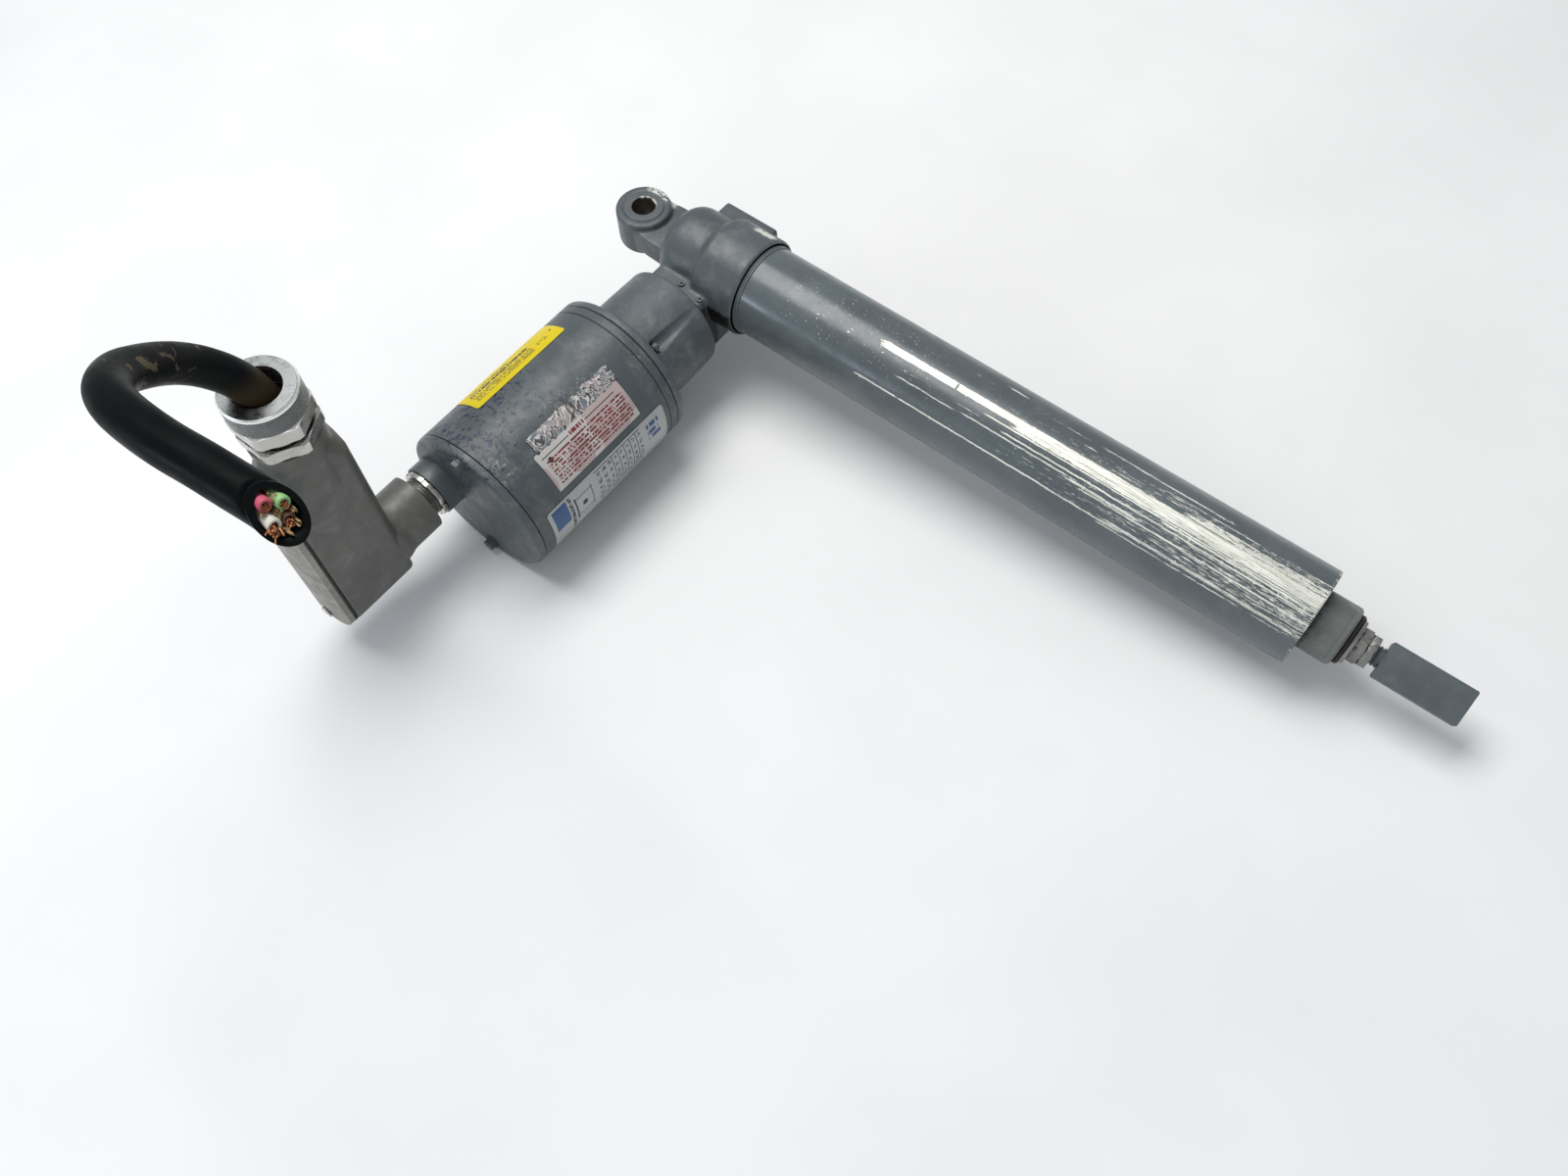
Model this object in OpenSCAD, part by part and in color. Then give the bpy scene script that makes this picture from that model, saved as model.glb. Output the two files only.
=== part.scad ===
// Electric linear actuator: a worm-gear screw drive in a cast housing, an AC motor
// at right angles, a guide tube with a translating rod, and a conduit elbow with a
// short cut supply cable. Millimetres. Origin at the centre of the rear eye's bore,
// +X along the screw towards the rod end, +Z along the eye's bore, motor towards -Y.

/* [Guide tube and rod] */
// outside radius of the guide tube
tube_r = 30.15; // [29:0.05:31]
// wall thickness of the guide tube
tube_wall = 3.2; // [2.5:0.1:4]
// x of the guide tube's open end
tube_end_x = 495.2; // [490:0.1:500]
// outside radius of the translating tube
rod_r = 18.4; // [17.5:0.1:19]
// how far the rod's front face stands out of the guide tube when retracted
rod_proud = 20.6; // [18:0.1:24]
// travel of the rod
stroke = 304.8; // [250:0.1:310]

/* [Screw and gears] */
// screw travel for one turn
screw_lead = 5.08; // [4:0.01:6]
// major radius of the screw thread
screw_r = 9.5; // [9:0.1:9.6]
// depth of the screw thread
thread_depth = 2.3; // [1.5:0.1:2.5]
// module of the worm gear set
gear_module = 1.25; // [1.2:0.01:1.3]
// teeth on the worm wheel
wheel_teeth = 20; // [20:1:20]
// pitch radius of the worm
worm_pitch_r = 6.5; // [6.4:0.05:6.6]

/* [Gear housing] */
// outside radius of the rear eye
eye_r = 19; // [18:0.1:21]
// half thickness of the rear eye
eye_half = 12.9; // [12:0.1:14]
// radius of the pin hole in the eye's bushing
pin_r = 7.94; // [7.5:0.01:8.5]
// outside radius of the eye's bushing
bushing_r = 13.65; // [13:0.05:14]
// outside radius of the neck around the worm wheel
neck_r = 29; // [28:0.1:30]
// outside radius of the collar that holds the guide tube
collar_r = 33.8; // [33:0.1:35]
// x of the collar's front face
collar_x = 100.6; // [99:0.1:102]
// half length of the worm block across the screw
block_half = 41; // [40:0.1:42]

/* [Motor] */
// x of the motor's axis
motor_x = 57.8; // [57:0.1:58.5]
// outside radius of the motor shell
motor_r = 51.5; // [51:0.1:53]
// y of the joint between the drive end bell and the shell
bell_y = -97.2; // [-99:0.1:-96]
// y of the joint between the shell and the end cap
cap_y = -221.5; // [-224:0.1:-219]
// y of the end cap's outer face
cap_face_y = -227.0; // [-229:0.1:-226]
// radius of the nose that bolts to the worm block
nose_r = 36.5; // [35:0.1:38]

/* [Conduit elbow and gland] */
// x of the conduit's axis
conduit_x = 28.5; // [27:0.1:30]
// z of the conduit's axis
conduit_z = -17; // [-18:0.1:-16]
// y where the elbow's back hub ends
hub_y = -248; // [-249:0.1:-247]
// y of the elbow body's back face
elbow_back_y = -274.2; // [-276:0.1:-273]
// y of the elbow's gasket face
elbow_face_y = -322.6; // [-324:0.1:-321]
// y of the elbow's upright outlet
outlet_y = -295.6; // [-297:0.1:-294]
// z of the top of the elbow's outlet
outlet_z = 111.6; // [110:0.1:113]
// half width of the elbow's body
elbow_half = 19; // [18.5:0.1:19.5]

/* [Cable] */
// outside radius of the supply cable
cable_r = 9.75; // [9:0.05:10]

/* [Hidden] */

$fn = 96;
e = 0.01; // cutters run this far past the face they cut
gap = 0.05; // radial clearance of every running fit

wheel_pitch_r = gear_module * wheel_teeth / 2;
centre_distance = wheel_pitch_r + worm_pitch_r;
motor_z = -centre_distance;
worm_lead = PI * gear_module;
tube_ri = tube_r - tube_wall;
tube_x0 = collar_x - 16.6;
rod_end_x = tube_end_x + rod_proud;
rod_x0 = 124;
nut_x0 = 112;
bell_front_y = -block_half;
shell_ri = motor_r - 2.6;
tie_r = 44.5;
// the worm block's sides
block_x0 = motor_x - 19.3;
block_x1 = motor_x + 24.2;
block_z0 = motor_z - 24;
block_z1 = 8;
// the nose's two screw slots: their angles, the slot cutter's radius and how far out it lies
slot_angles = [41, 221];
slot_r = 5;
slot_out = nose_r + 1.4;
slot_y = bell_y + 12;
slot_lean = 4.6;
bell_screw_r = 36.4;
// the collar's mouth around the tube
mouth_r = tube_r + 1.9;

// tang roll about the screw axis, and its blade
tang_roll = 28;
tang_x0 = rod_end_x + 21.2;
tang_length = 49.3;
tang_width = 22.4;
tang_thick = 9.5;
stud_r = 6.3;

// the cable's centreline, from inside the gland to its cut end
cable_route = [[28.5, -295.6, 122], [28.5, -295.6, 133], [27.5, -297.5, 146],
    [25.5, -302, 159.5], [24, -309.5, 173], [24.5, -318, 185], [28, -327, 196.5],
    [33.5, -336, 207.5], [40.5, -344.5, 218], [50.2, -352, 227.2], [62.7, -357.7, 235.2],
    [78, -360.9, 241.1], [94.9, -361.8, 244.6], [111.7, -361.3, 246.4], [129.3, -359.5, 247.3],
    [146.8, -357.9, 247.6], [164.1, -356.3, 248], [170.8, -356.6, 249.5]];
cable_sides = 12;
cable_steps = 2;
// the slanted saw cut: its direction across the cable and its steepness
cut_slope = 0.93;
cut_toward = [-0.09, 0.07, 0.93];

colour_paint = [0.42, 0.46, 0.49];
colour_steel = [0.62, 0.62, 0.6];
colour_dark = [0.12, 0.12, 0.12];
colour_cast = [0.45, 0.46, 0.44];

// ---- helpers ----

// a cylinder along X from x0 to x1, at y and z
module xcyl(r, x0, x1, y = 0, z = 0, sides = $fn)
    translate([x0, y, z]) rotate([0, 90, 0]) cylinder(r = r, h = x1 - x0, $fn = sides);

// a cylinder along Y from y0 to y1, at x and z
module ycyl(r, y0, y1, x = motor_x, z = motor_z, sides = $fn)
    translate([x, y0, z]) rotate([-90, 0, 0]) cylinder(r = r, h = y1 - y0, $fn = sides);

// a cylinder along Z from z0 to z1, at x and y
module zcyl(r, z0, z1, x = 0, y = 0, sides = $fn)
    translate([x, y, z0]) cylinder(r = r, h = z1 - z0, $fn = sides);

// a turned shape about the X axis; points are [x, radius]
module turned_x(points) rotate([0, 90, 0]) rotate_extrude() polygon([for (p = points) [p[1], p[0]]]);

// a turned shape about the motor axis; points are [y, radius]
module turned_motor(points)
    translate([motor_x, 0, motor_z]) rotate([-90, 0, 0]) rotate_extrude()
        polygon([for (p = points) [p[1], p[0]]]);

// a hexagonal prism along X, flats af apart
module xhex(af, x0, x1) xcyl(af / 2 / cos(30), x0, x1, sides = 6);

// a rectangle with true round corners
module round_rect(x0, x1, y0, y1, r) {
    translate([x0 + r, y0]) square([x1 - x0 - 2 * r, y1 - y0]);
    translate([x0, y0 + r]) square([x1 - x0, y1 - y0 - 2 * r]);
    for (x = [x0 + r, x1 - r], y = [y0 + r, y1 - r]) translate([x, y]) circle(r);
}

// a point at an angle from +Z towards +X around the motor axis
function motor_point(r, angle, y) = [motor_x + r * sin(angle), y, motor_z + r * cos(angle)];

// points of a quarter arc in a profile, for rounded edges
function arc(cx, cr, r, a0, a1, n) =
    [for (i = [0:n]) let (a = a0 + (a1 - a0) * i / n) [cx + r * cos(a), cr + r * sin(a)]];

// ---- housing ----

module housing_outside() {
    turned_x(concat([[24, 0], [24, 7], [33, 20]], arc(neck_r + 14.5, neck_r - 13, 13, 150, 90, 4),
        [[collar_x - 37, neck_r]], [[collar_x - 32, collar_r]],
        arc(collar_x - 1.5, collar_r - 1.5, 1.5, 90, 0, 4), [[collar_x, 0]]));
    zcyl(eye_r, -eye_half + 1, eye_half - 1);
    zcyl(eye_r - 0.8, -eye_half, eye_half);
    // the web from the eye widens towards the neck
    translate([0, 0, -8]) linear_extrude(16.4) polygon([[0, -17.8], [0, 17.8], [36, 20], [36, -20]]);
    translate([0, block_half, 0]) rotate([90, 0, 0]) linear_extrude(2 * block_half)
        round_rect(block_x0, block_x1, block_z0, block_z1, 2.5);
}

module gear_housing() color(colour_paint) difference() {
    housing_outside();
    zcyl(bushing_r, -eye_half - e, eye_half + e);
    // rear bearing seat, wheel chamber, thrust bearing seat, tube seat, mouth
    xcyl(13, 31.5, 42);
    xcyl(17.5, 40, 69);
    xcyl(23.5, 68, tube_x0 + e);
    xcyl(tube_r, tube_x0, collar_x + e);
    xcyl(mouth_r, collar_x - 3.6, collar_x + e);
    // worm bore, its two bearing seats and the plug's seat
    ycyl(9, -22, 24);
    ycyl(13, -block_half - e, -20);
    ycyl(11, 24 - e, 36 + e);
    ycyl(13, 36, block_half + e);
    for (p = set_screw_places) zcyl(1.5, block_z1 - 5, block_z1 + e, p[0], p[1]);
}

module eye_bushing() color(colour_steel) difference() {
    zcyl(bushing_r, -eye_half - 0.2, eye_half + 0.2);
    zcyl(pin_r, -eye_half - 1, eye_half + 1);
}

module worm_plug() color(colour_paint) difference() {
    ycyl(13, 36, block_half + 0.8);
    ycyl(4.6, 38.5, block_half + 1, sides = 6);
}

// two small screws in the worm block's top near the nose
set_screw_places = [[motor_x + 3.4, -33.6], [motor_x + 21.2, -36.6]];

module block_set_screws() color(colour_steel) for (p = set_screw_places) translate([p[0], p[1], 0])
    difference() {
        union() {
            zcyl(1.5, block_z1 - 5, block_z1);
            zcyl(1.9, block_z1, block_z1 + 1);
        }
        zcyl(0.9, block_z1 - 1, block_z1 + 2, sides = 6);
    }

// ---- motor ----

module drive_end_bell() color(colour_paint) difference() {
    turned_motor([[bell_front_y, 0], [bell_front_y, nose_r - 1.5], [bell_front_y - 0.5, nose_r - 0.5],
        [bell_front_y - 1.5, nose_r], [bell_y + 11, nose_r + 0.8], [bell_y + 8.5, nose_r + 1.6],
        [bell_y + 7, nose_r + 3.5], [bell_y + 6, motor_r - 3], [bell_y + 5.4, motor_r - 1],
        [bell_y + 4.4, motor_r], [bell_y, motor_r], [bell_y, shell_ri], [bell_y - 6, shell_ri],
        [bell_y - 6, 0]]);
    // hollow behind the bearing, the bearing's seat, the coupling's room and the way through
    turned_motor([[bell_y + 17, 0], [bell_y + 17, 24], [bell_y + 9, 30], [bell_y + 2, 42],
        [bell_y - 6 - e, 44], [bell_y - 6 - e, 0]]);
    ycyl(15, bell_y + 16, bell_y + 26);
    ycyl(20, bell_y + 31, bell_front_y - 9);
    ycyl(10, bell_y + 25, bell_front_y + e);
    for (a = slot_angles) {
        // a slot that starts deep at the screw's head and runs out at the front
        translate(motor_point(slot_out, a, slot_y)) rotate([-90, 0, 0]) rotate([0, 0, a - 90])
            rotate([0, slot_lean, 0]) cylinder(r = slot_r, h = 50);
        // the screw's hole and a flat face for its head
        translate(motor_point(bell_screw_r, a, 0)) ycyl(1.3, slot_y - 5.2, slot_y + e, 0, 0);
        translate(motor_point(bell_screw_r, a, 0)) ycyl(3, slot_y, slot_y + 3.6, 0, 0);
    }
    for (s = [-1, 1])
        translate([motor_x, 0, motor_z + s * tie_r]) ycyl(2.4, bell_y - 8, bell_y + 3, 0, 0);
}

module bell_screws() color(colour_steel) for (a = slot_angles)
    translate(motor_point(bell_screw_r, a, 0)) difference() {
        union() {
            ycyl(2.6, slot_y, slot_y + 3.4, 0, 0);
            ycyl(1.3, slot_y - 5, slot_y + e, 0, 0);
        }
        ycyl(1.3, slot_y + 1.6, slot_y + 4, 0, 0, 6);
    }

module motor_shell() color(colour_paint) difference() {
    turned_motor([[cap_y, shell_ri], [cap_y, motor_r - 0.5], [cap_y + 0.5, motor_r],
        [bell_y - 7.6, motor_r], [bell_y - 7.3, motor_r - 0.5], [bell_y - 6.7, motor_r - 0.5],
        [bell_y - 6.4, motor_r], [bell_y - 1, motor_r], [bell_y - 0.6, motor_r - 0.9],
        [bell_y, motor_r - 0.9], [bell_y, shell_ri]]);
}

module motor_end_cap() color(colour_paint) difference() {
    union() {
        turned_motor([[cap_y + 7, 0], [cap_y + 7, shell_ri], [cap_y, shell_ri],
            [cap_y, motor_r - 0.5], [cap_y - 0.5, motor_r], [cap_face_y + 2, motor_r - 0.3],
            [cap_face_y + 0.6, motor_r - 1.2], [cap_face_y, motor_r - 2.6], [cap_face_y, 0]]);
        ycyl(17.5, cap_face_y - 11.5, cap_face_y + e, conduit_x, conduit_z);
    }
    turned_motor([[cap_y - 2, 17], [cap_y - 2, 45], [cap_y + 7 + e, 45], [cap_y + 7 + e, 17]]);
    ycyl(13, cap_y + 2, cap_y + 7 + e);
    ycyl(13.35, cap_face_y - 11.5 - e, cap_y + 3, conduit_x, conduit_z);
    for (s = [-1, 1])
        translate([motor_x, 0, motor_z + s * tie_r]) ycyl(2.4, cap_face_y - e, cap_y + 8, 0, 0);
}

module tie_bolts() color(colour_steel) for (s = [-1, 1])
    translate([motor_x, 0, motor_z + s * tie_r]) {
        ycyl(2.4, cap_face_y, bell_y + 3, 0, 0);
        ycyl(4.9, cap_face_y - 1, cap_face_y, 0, 0);
        ycyl(4.3, cap_face_y - 4.2, cap_face_y - 1, 0, 0, 6);
    }

module stator_core() color(colour_steel) difference() {
    ycyl(shell_ri, -200, -115);
    ycyl(25.2, -201, -114);
    for (k = [0:23]) translate(motor_point(31, k * 15, 0)) ycyl(2.4, -201, -114, 0, 0);
    for (s = [-1, 1])
        translate([motor_x, 0, motor_z + s * tie_r]) ycyl(3.2, -201, -114, 0, 0);
}

module stator_windings() color([0.7, 0.35, 0.15]) {
    turned_motor([[-200, 28], [-200, 38], [-203, 39.5], [-209, 39], [-212, 35], [-212, 30.5],
        [-209, 28], [-203, 27.5]]);
    turned_motor([[-115, 28], [-115, 38], [-112, 39.5], [-107, 39], [-104.5, 35],
        [-104.5, 30.5], [-107, 28], [-112, 27.5]]);
}

// a ball bearing drawn as one grooved ring on the motor axis
module motor_ring(ri, ro, y0, y1) difference() {
    ycyl(ro, y0, y1);
    ycyl(ri, y0 - e, y1 + e);
    for (y = [y0 - e, y1 - 0.8]) difference() {
        ycyl(ri + (ro - ri) * 0.68, y, y + 0.8 + e);
        ycyl(ri + (ro - ri) * 0.32, y - e, y + 1);
    }
}

module motor_bearing_front() color(colour_steel) motor_ring(7 + gap, 15, bell_y + 17, bell_y + 26);
module motor_bearing_rear() color(colour_steel) motor_ring(5 + gap, 13, cap_y + 2, cap_y + 7);
module worm_bearing_near() color(colour_steel) motor_ring(5 + gap, 13, -29, -20);
module worm_bearing_far() color(colour_steel) motor_ring(4 + gap, 11, 25, 34);

// ---- screw bearings, tube and guide ----

module screw_rear_bearing() color(colour_steel) difference() {
    xcyl(13, 31.5, 39.5);
    xcyl(6.5 + gap, 31, 40);
    difference() {
        xcyl(10.9, 38.7, 40);
        xcyl(8.7, 38, 41);
    }
}

module screw_thrust_bearing() color(colour_steel) difference() {
    xcyl(23.5, 70, 80);
    xcyl(8.5 + gap, 69, 81);
    for (x = [69, 79]) difference() {
        xcyl(19, x, x + 2);
        xcyl(13.5, x - 1, x + 3);
    }
}

module bearing_retainer() color(colour_steel) difference() {
    xcyl(23.5, 80, tube_x0);
    xcyl(10.5, 79, tube_x0 + 1);
    for (a = [0:90:270]) rotate([a, 0, 0]) xcyl(1.8, 82, tube_x0 + 1, 17);
}

module guide_tube() color(colour_paint) turned_x([[tube_x0, tube_ri], [tube_x0, tube_r],
    [tube_end_x - 0.8, tube_r], [tube_end_x, tube_r - 0.6], [tube_end_x, tube_ri + 0.6],
    [tube_end_x - 0.8, tube_ri]]);

module tube_seal() color(colour_dark) difference() {
    xcyl(mouth_r, collar_x - 3.6, collar_x - 1.6);
    xcyl(tube_r, collar_x - 4, collar_x);
}

module tube_ring() color(colour_paint) turned_x([[collar_x + 0.4, tube_r],
    [collar_x + 0.4, tube_r + 0.9], [collar_x + 1.4, tube_r + 0.9], [collar_x + 1.6, tube_r + 0.5],
    [collar_x + 1.9, tube_r + 0.5], [collar_x + 2.1, tube_r + 0.8], [collar_x + 3.2, tube_r + 0.8],
    [collar_x + 3.6, tube_r]]);

module front_guide() color([0.55, 0.45, 0.25]) difference() {
    xcyl(tube_ri, tube_end_x - 25, tube_end_x - 5);
    xcyl(rod_r + gap, tube_end_x - 26, tube_end_x - 4);
    for (x = [tube_end_x - 20, tube_end_x - 12]) difference() {
        xcyl(rod_r + 1, x, x + 2);
        xcyl(rod_r - 1, x - 1, x + 3);
    }
}

module rod_wiper() color(colour_dark) turned_x([[tube_end_x - 5, rod_r + gap],
    [tube_end_x - 5, tube_ri], [tube_end_x - 2.5, tube_ri], [tube_end_x - 2, rod_r + 3],
    [tube_end_x - 0.8, rod_r + 1], [tube_end_x - 0.8, rod_r + gap]]);

// ---- conduit elbow, gland and cable ----

// a straight thread drawn as rings: ridges of radius r on a core
function thread_profile(y0, y1, r, depth, pitch) =
    let (n = floor((y1 - y0) / pitch)) concat([[y0, r - depth]],
        [for (i = [0:n - 1]) each [[y0 + (i + 0.2) * pitch, r - depth], [y0 + (i + 0.4) * pitch, r],
            [y0 + (i + 0.6) * pitch, r], [y0 + (i + 0.8) * pitch, r - depth]]],
        [[y1, r - depth]]);

module conduit_nipple() color(colour_steel) difference() {
    translate([conduit_x, 0, conduit_z]) rotate([-90, 0, 0]) rotate_extrude()
        polygon([for (p = concat([[hub_y - 13, 0]], thread_profile(hub_y - 13, cap_face_y - 2, 13.3, 0.9, 1.8),
            [[cap_face_y - 2, 0]])) [p[1], p[0]]]);
    ycyl(10.4, hub_y - 14, cap_face_y, conduit_x, conduit_z);
}

module conduit_lock_ring() color(colour_steel) difference() {
    ycyl(16.4, cap_face_y - 15, cap_face_y - 11.8, conduit_x, conduit_z);
    ycyl(13.35, cap_face_y - 16, cap_face_y - 11, conduit_x, conduit_z);
    for (a = [15:60:345]) translate([conduit_x, cap_face_y - 16, conduit_z]) rotate([0, a, 0])
        translate([-2, 0, 15.2]) cube([4, 5, 3]);
}

// the elbow's plan, with its back corners rounded
module elbow_plan() {
    r = 8.5;
    x0 = conduit_x - elbow_half;
    x1 = conduit_x + elbow_half;
    y0 = elbow_face_y - 1;
    translate([x0, y0]) square([x1 - x0, elbow_back_y - r - y0]);
    translate([x0 + r, y0]) square([x1 - x0 - 2 * r, elbow_back_y - y0]);
    for (x = [x0 + r, x1 - r]) translate([x, elbow_back_y - r]) circle(r);
}

elbow_z0 = conduit_z - 25;
elbow_z1 = outlet_z - 22;

// the outline seen from the cover side
module elbow_front(inset) round_rect(conduit_x - elbow_half + inset, conduit_x + elbow_half - inset,
    elbow_z0 + inset, elbow_z1 - inset, 9 - inset);

module conduit_elbow() color(colour_cast) difference() {
    union() {
        intersection() {
            translate([0, elbow_back_y, 0]) rotate([90, 0, 0])
                linear_extrude(elbow_back_y - elbow_face_y) elbow_front(0);
            translate([0, 0, elbow_z0 - 1]) linear_extrude(elbow_z1 - elbow_z0 + 2) elbow_plan();
        }
        // the shoulder that runs up into the outlet
        intersection() {
            translate([conduit_x, outlet_y, elbow_z1 - 14]) cylinder(r1 = 30, r2 = 18.5, h = 26);
            translate([0, 0, elbow_z1 - 16]) linear_extrude(30) elbow_plan();
            translate([conduit_x - 30, elbow_face_y, elbow_z1 - 16]) cube([60, 60, 32]);
        }
        zcyl(20.3, elbow_z1 - 16, outlet_z, conduit_x, outlet_y);
        ycyl(19.6, elbow_back_y - 4, hub_y, conduit_x, conduit_z);
        translate([conduit_x, elbow_back_y - 2, conduit_z]) rotate([-90, 0, 0])
            cylinder(r1 = 21.6, r2 = 19.6, h = 7);
    }
    translate([0, elbow_back_y - 3, 0]) rotate([90, 0, 0])
        linear_extrude(elbow_back_y - 3 - elbow_face_y + e) elbow_front(3.2);
    ycyl(13.35, hub_y - 14, hub_y + e, conduit_x, conduit_z);
    ycyl(11, elbow_back_y - 6, hub_y, conduit_x, conduit_z);
    zcyl(13.35, outlet_z - 14, outlet_z + e, conduit_x, outlet_y);
    zcyl(11, elbow_z1 - 8, outlet_z, conduit_x, outlet_y);
}

module elbow_gasket() color(colour_dark) translate([0, elbow_face_y, 0]) rotate([90, 0, 0])
    linear_extrude(1.6) difference() {
        elbow_front(0.3);
        elbow_front(3.4);
        for (z = cover_screw_z) translate([conduit_x, z]) circle(2.2);
    }

cover_screw_z = [elbow_z0 + 5.5, elbow_z1 - 5.5];
cover_y = elbow_face_y - 1.6;

module elbow_cover() color([0.6, 0.6, 0.58]) difference() {
    intersection() {
        translate([0, cover_y, 0]) rotate([90, 0, 0]) linear_extrude(6.6) elbow_front(0.5);
        zcyl(62, elbow_z0 - 2, elbow_z1 + 2, conduit_x, cover_y - 6.4 + 62);
    }
    for (z = cover_screw_z) {
        ycyl(2.2, cover_y - 8, cover_y + e, conduit_x, z);
        ycyl(3.8, cover_y - 8, cover_y - 6.2, conduit_x, z);
    }
}

module elbow_cover_screws() color(colour_steel) for (z = cover_screw_z) difference() {
    union() {
        ycyl(2.2, cover_y - 6.2, elbow_face_y, conduit_x, z);
        ycyl(3.8, cover_y - 7.6, cover_y - 6.2, conduit_x, z);
    }
    translate([conduit_x - 5, cover_y - 8, z - 0.5]) cube([10, 1, 1]);
}

gland_mouth_r = 13;
gland_flats = 39;
gland_round_r = 21.6;
gland_ring_r = 20.7;
gland_top_z = outlet_z + 35.6;

// a hexagon across its flats, its corners turned down to a round and chamfered at the top
module gland_hex(flats, round_r, z0, z1, chamfer) intersection() {
    zcyl(flats / 2 / cos(30), z0, z1, conduit_x, outlet_y, 6);
    union() {
        zcyl(round_r, z0 - e, z1 - chamfer, conduit_x, outlet_y);
        translate([conduit_x, outlet_y, z1 - chamfer - e])
            cylinder(r1 = round_r, r2 = round_r - 1.8 * chamfer, h = chamfer + 2 * e);
    }
}

module gland_body() color([0.68, 0.68, 0.66]) difference() {
    union() {
        zcyl(13.3, outlet_z - 13, outlet_z + e, conduit_x, outlet_y);
        gland_hex(gland_flats, gland_round_r, outlet_z, outlet_z + 8, 1.2);
        zcyl(16.5, outlet_z + 8 - e, outlet_z + 19, conduit_x, outlet_y);
    }
    zcyl(10.4, outlet_z - 14, outlet_z + 9, conduit_x, outlet_y);
    zcyl(13.4, outlet_z + 9 - e, outlet_z + 20, conduit_x, outlet_y);
}

module gland_nut() color([0.68, 0.68, 0.66]) difference() {
    union() {
        zcyl(18.2, outlet_z + 9.5, outlet_z + 12, conduit_x, outlet_y);
        gland_hex(gland_flats, gland_round_r, outlet_z + 12 - e, outlet_z + 21.5, 1);
        zcyl(gland_ring_r, outlet_z + 21.5 - 2 * e, gland_top_z - 1.8, conduit_x, outlet_y);
        translate([conduit_x, outlet_y, gland_top_z - 1.8])
            cylinder(r1 = gland_ring_r, r2 = gland_ring_r - 1.1, h = 1.8);
    }
    zcyl(16.5, outlet_z + 9, outlet_z + 20, conduit_x, outlet_y);
    zcyl(14.6, outlet_z + 19, outlet_z + 29, conduit_x, outlet_y);
    zcyl(gland_mouth_r, outlet_z + 28, gland_top_z + e, conduit_x, outlet_y);
}

module gland_seal() color(colour_dark) difference() {
    zcyl(13.4, outlet_z + 10.4, outlet_z + 20, conduit_x, outlet_y);
    zcyl(14.6, outlet_z + 20 - e, outlet_z + 29, conduit_x, outlet_y);
    zcyl(cable_r - 0.3, outlet_z + 9, outlet_z + 19, conduit_x, outlet_y);
    // a flared mouth that lets the cable lean over
    translate([conduit_x, outlet_y, outlet_z + 18])
        cylinder(r1 = cable_r - 0.3, r2 = gland_mouth_r + 1.2, h = 11 + e);
}

// smooth curve through the route points
function ease(p0, p1, p2, p3, t) = 0.5 * ((2 * p1) + (p2 - p0) * t
    + (2 * p0 - 5 * p1 + 4 * p2 - p3) * t * t + (3 * p1 - p0 - 3 * p2 + p3) * t * t * t);
function clamp_index(i, n) = max(0, min(n - 1, i));
function smooth(route, steps) = let (n = len(route)) concat([for (i = [0:n - 2], j = [0:steps - 1])
    ease(route[clamp_index(i - 1, n)], route[i], route[i + 1], route[clamp_index(i + 2, n)], j / steps)],
    [route[n - 1]]);
function unit(v) = v / norm(v);
function tangent(path, i) = let (n = len(path)) unit(path[min(i + 1, n - 1)] - path[max(i - 1, 0)]);

cable_path = smooth(cable_route, cable_steps);
cable_last = len(cable_path) - 1;
cable_end = cable_path[cable_last];
cable_dir = tangent(cable_path, cable_last);
cable_side = unit(cross(cable_dir, [0, 1, 0]));
cable_up = cross(cable_side, cable_dir);

// how far a point of the end section slides along the cable to lie on the saw cut
function cut_slide(offset) = -cut_slope * (offset * unit(cut_toward));

function cable_ring(i) = let (t = tangent(cable_path, i), s = unit(cross(t, [0, 1, 0])), u = cross(s, t))
    [for (k = [0:cable_sides - 1]) let (a = 360 * k / cable_sides,
        offset = cable_r * (cos(a) * s + sin(a) * u))
        cable_path[i] + offset + (i == cable_last ? cut_slide(offset) : 0) * t];

module supply_cable() color(colour_dark) difference() {
    polyhedron(
        points = [for (i = [0:cable_last]) each cable_ring(i)],
        faces = concat([[for (k = [cable_sides - 1:-1:0]) k]],
            [[for (k = [0:cable_sides - 1]) cable_last * cable_sides + k]],
            [for (i = [0:cable_last - 1], k = [0:cable_sides - 1]) let (a = i * cable_sides + k,
                b = i * cable_sides + (k + 1) % cable_sides)
                each [[a, b, b + cable_sides], [a, b + cable_sides, a + cable_sides]]]),
        convexity = 6);
    end_frame() translate([0, 0, -24]) cylinder(r = cable_r - 2.3, h = 50, $fn = 24);
}

// local frame at the cut end: z along the cable
module end_frame() multmatrix([
    [cable_side[0], cable_up[0], cable_dir[0], cable_end[0]],
    [cable_side[1], cable_up[1], cable_dir[1], cable_end[1]],
    [cable_side[2], cable_up[2], cable_dir[2], cable_end[2]]]) children();

// the four wires' places in the section, each with how far it stands out
wire_places = [[4.2, 340, 0.4], [4.2, 70, 0.8], [4.2, 160, -2], [4.2, 250, 0.6]];
wire_r = 2.9;
copper_r = 1.6;
function wire_offset(w) = w[0] * (cos(w[1]) * cable_side + sin(w[1]) * cable_up);
function wire_top(w) = w[2] + cut_slide(wire_offset(w));

module cable_wires() color([0.8, 0.4, 0.4]) for (w = wire_places)
    end_frame() rotate([0, 0, w[1]]) translate([w[0], 0, -24]) difference() {
        cylinder(r = wire_r, h = 24 + wire_top(w), $fn = 24);
        translate([0, 0, 24 + wire_top(w) - 4]) cylinder(r = copper_r, h = 5, $fn = 16);
    }

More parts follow.
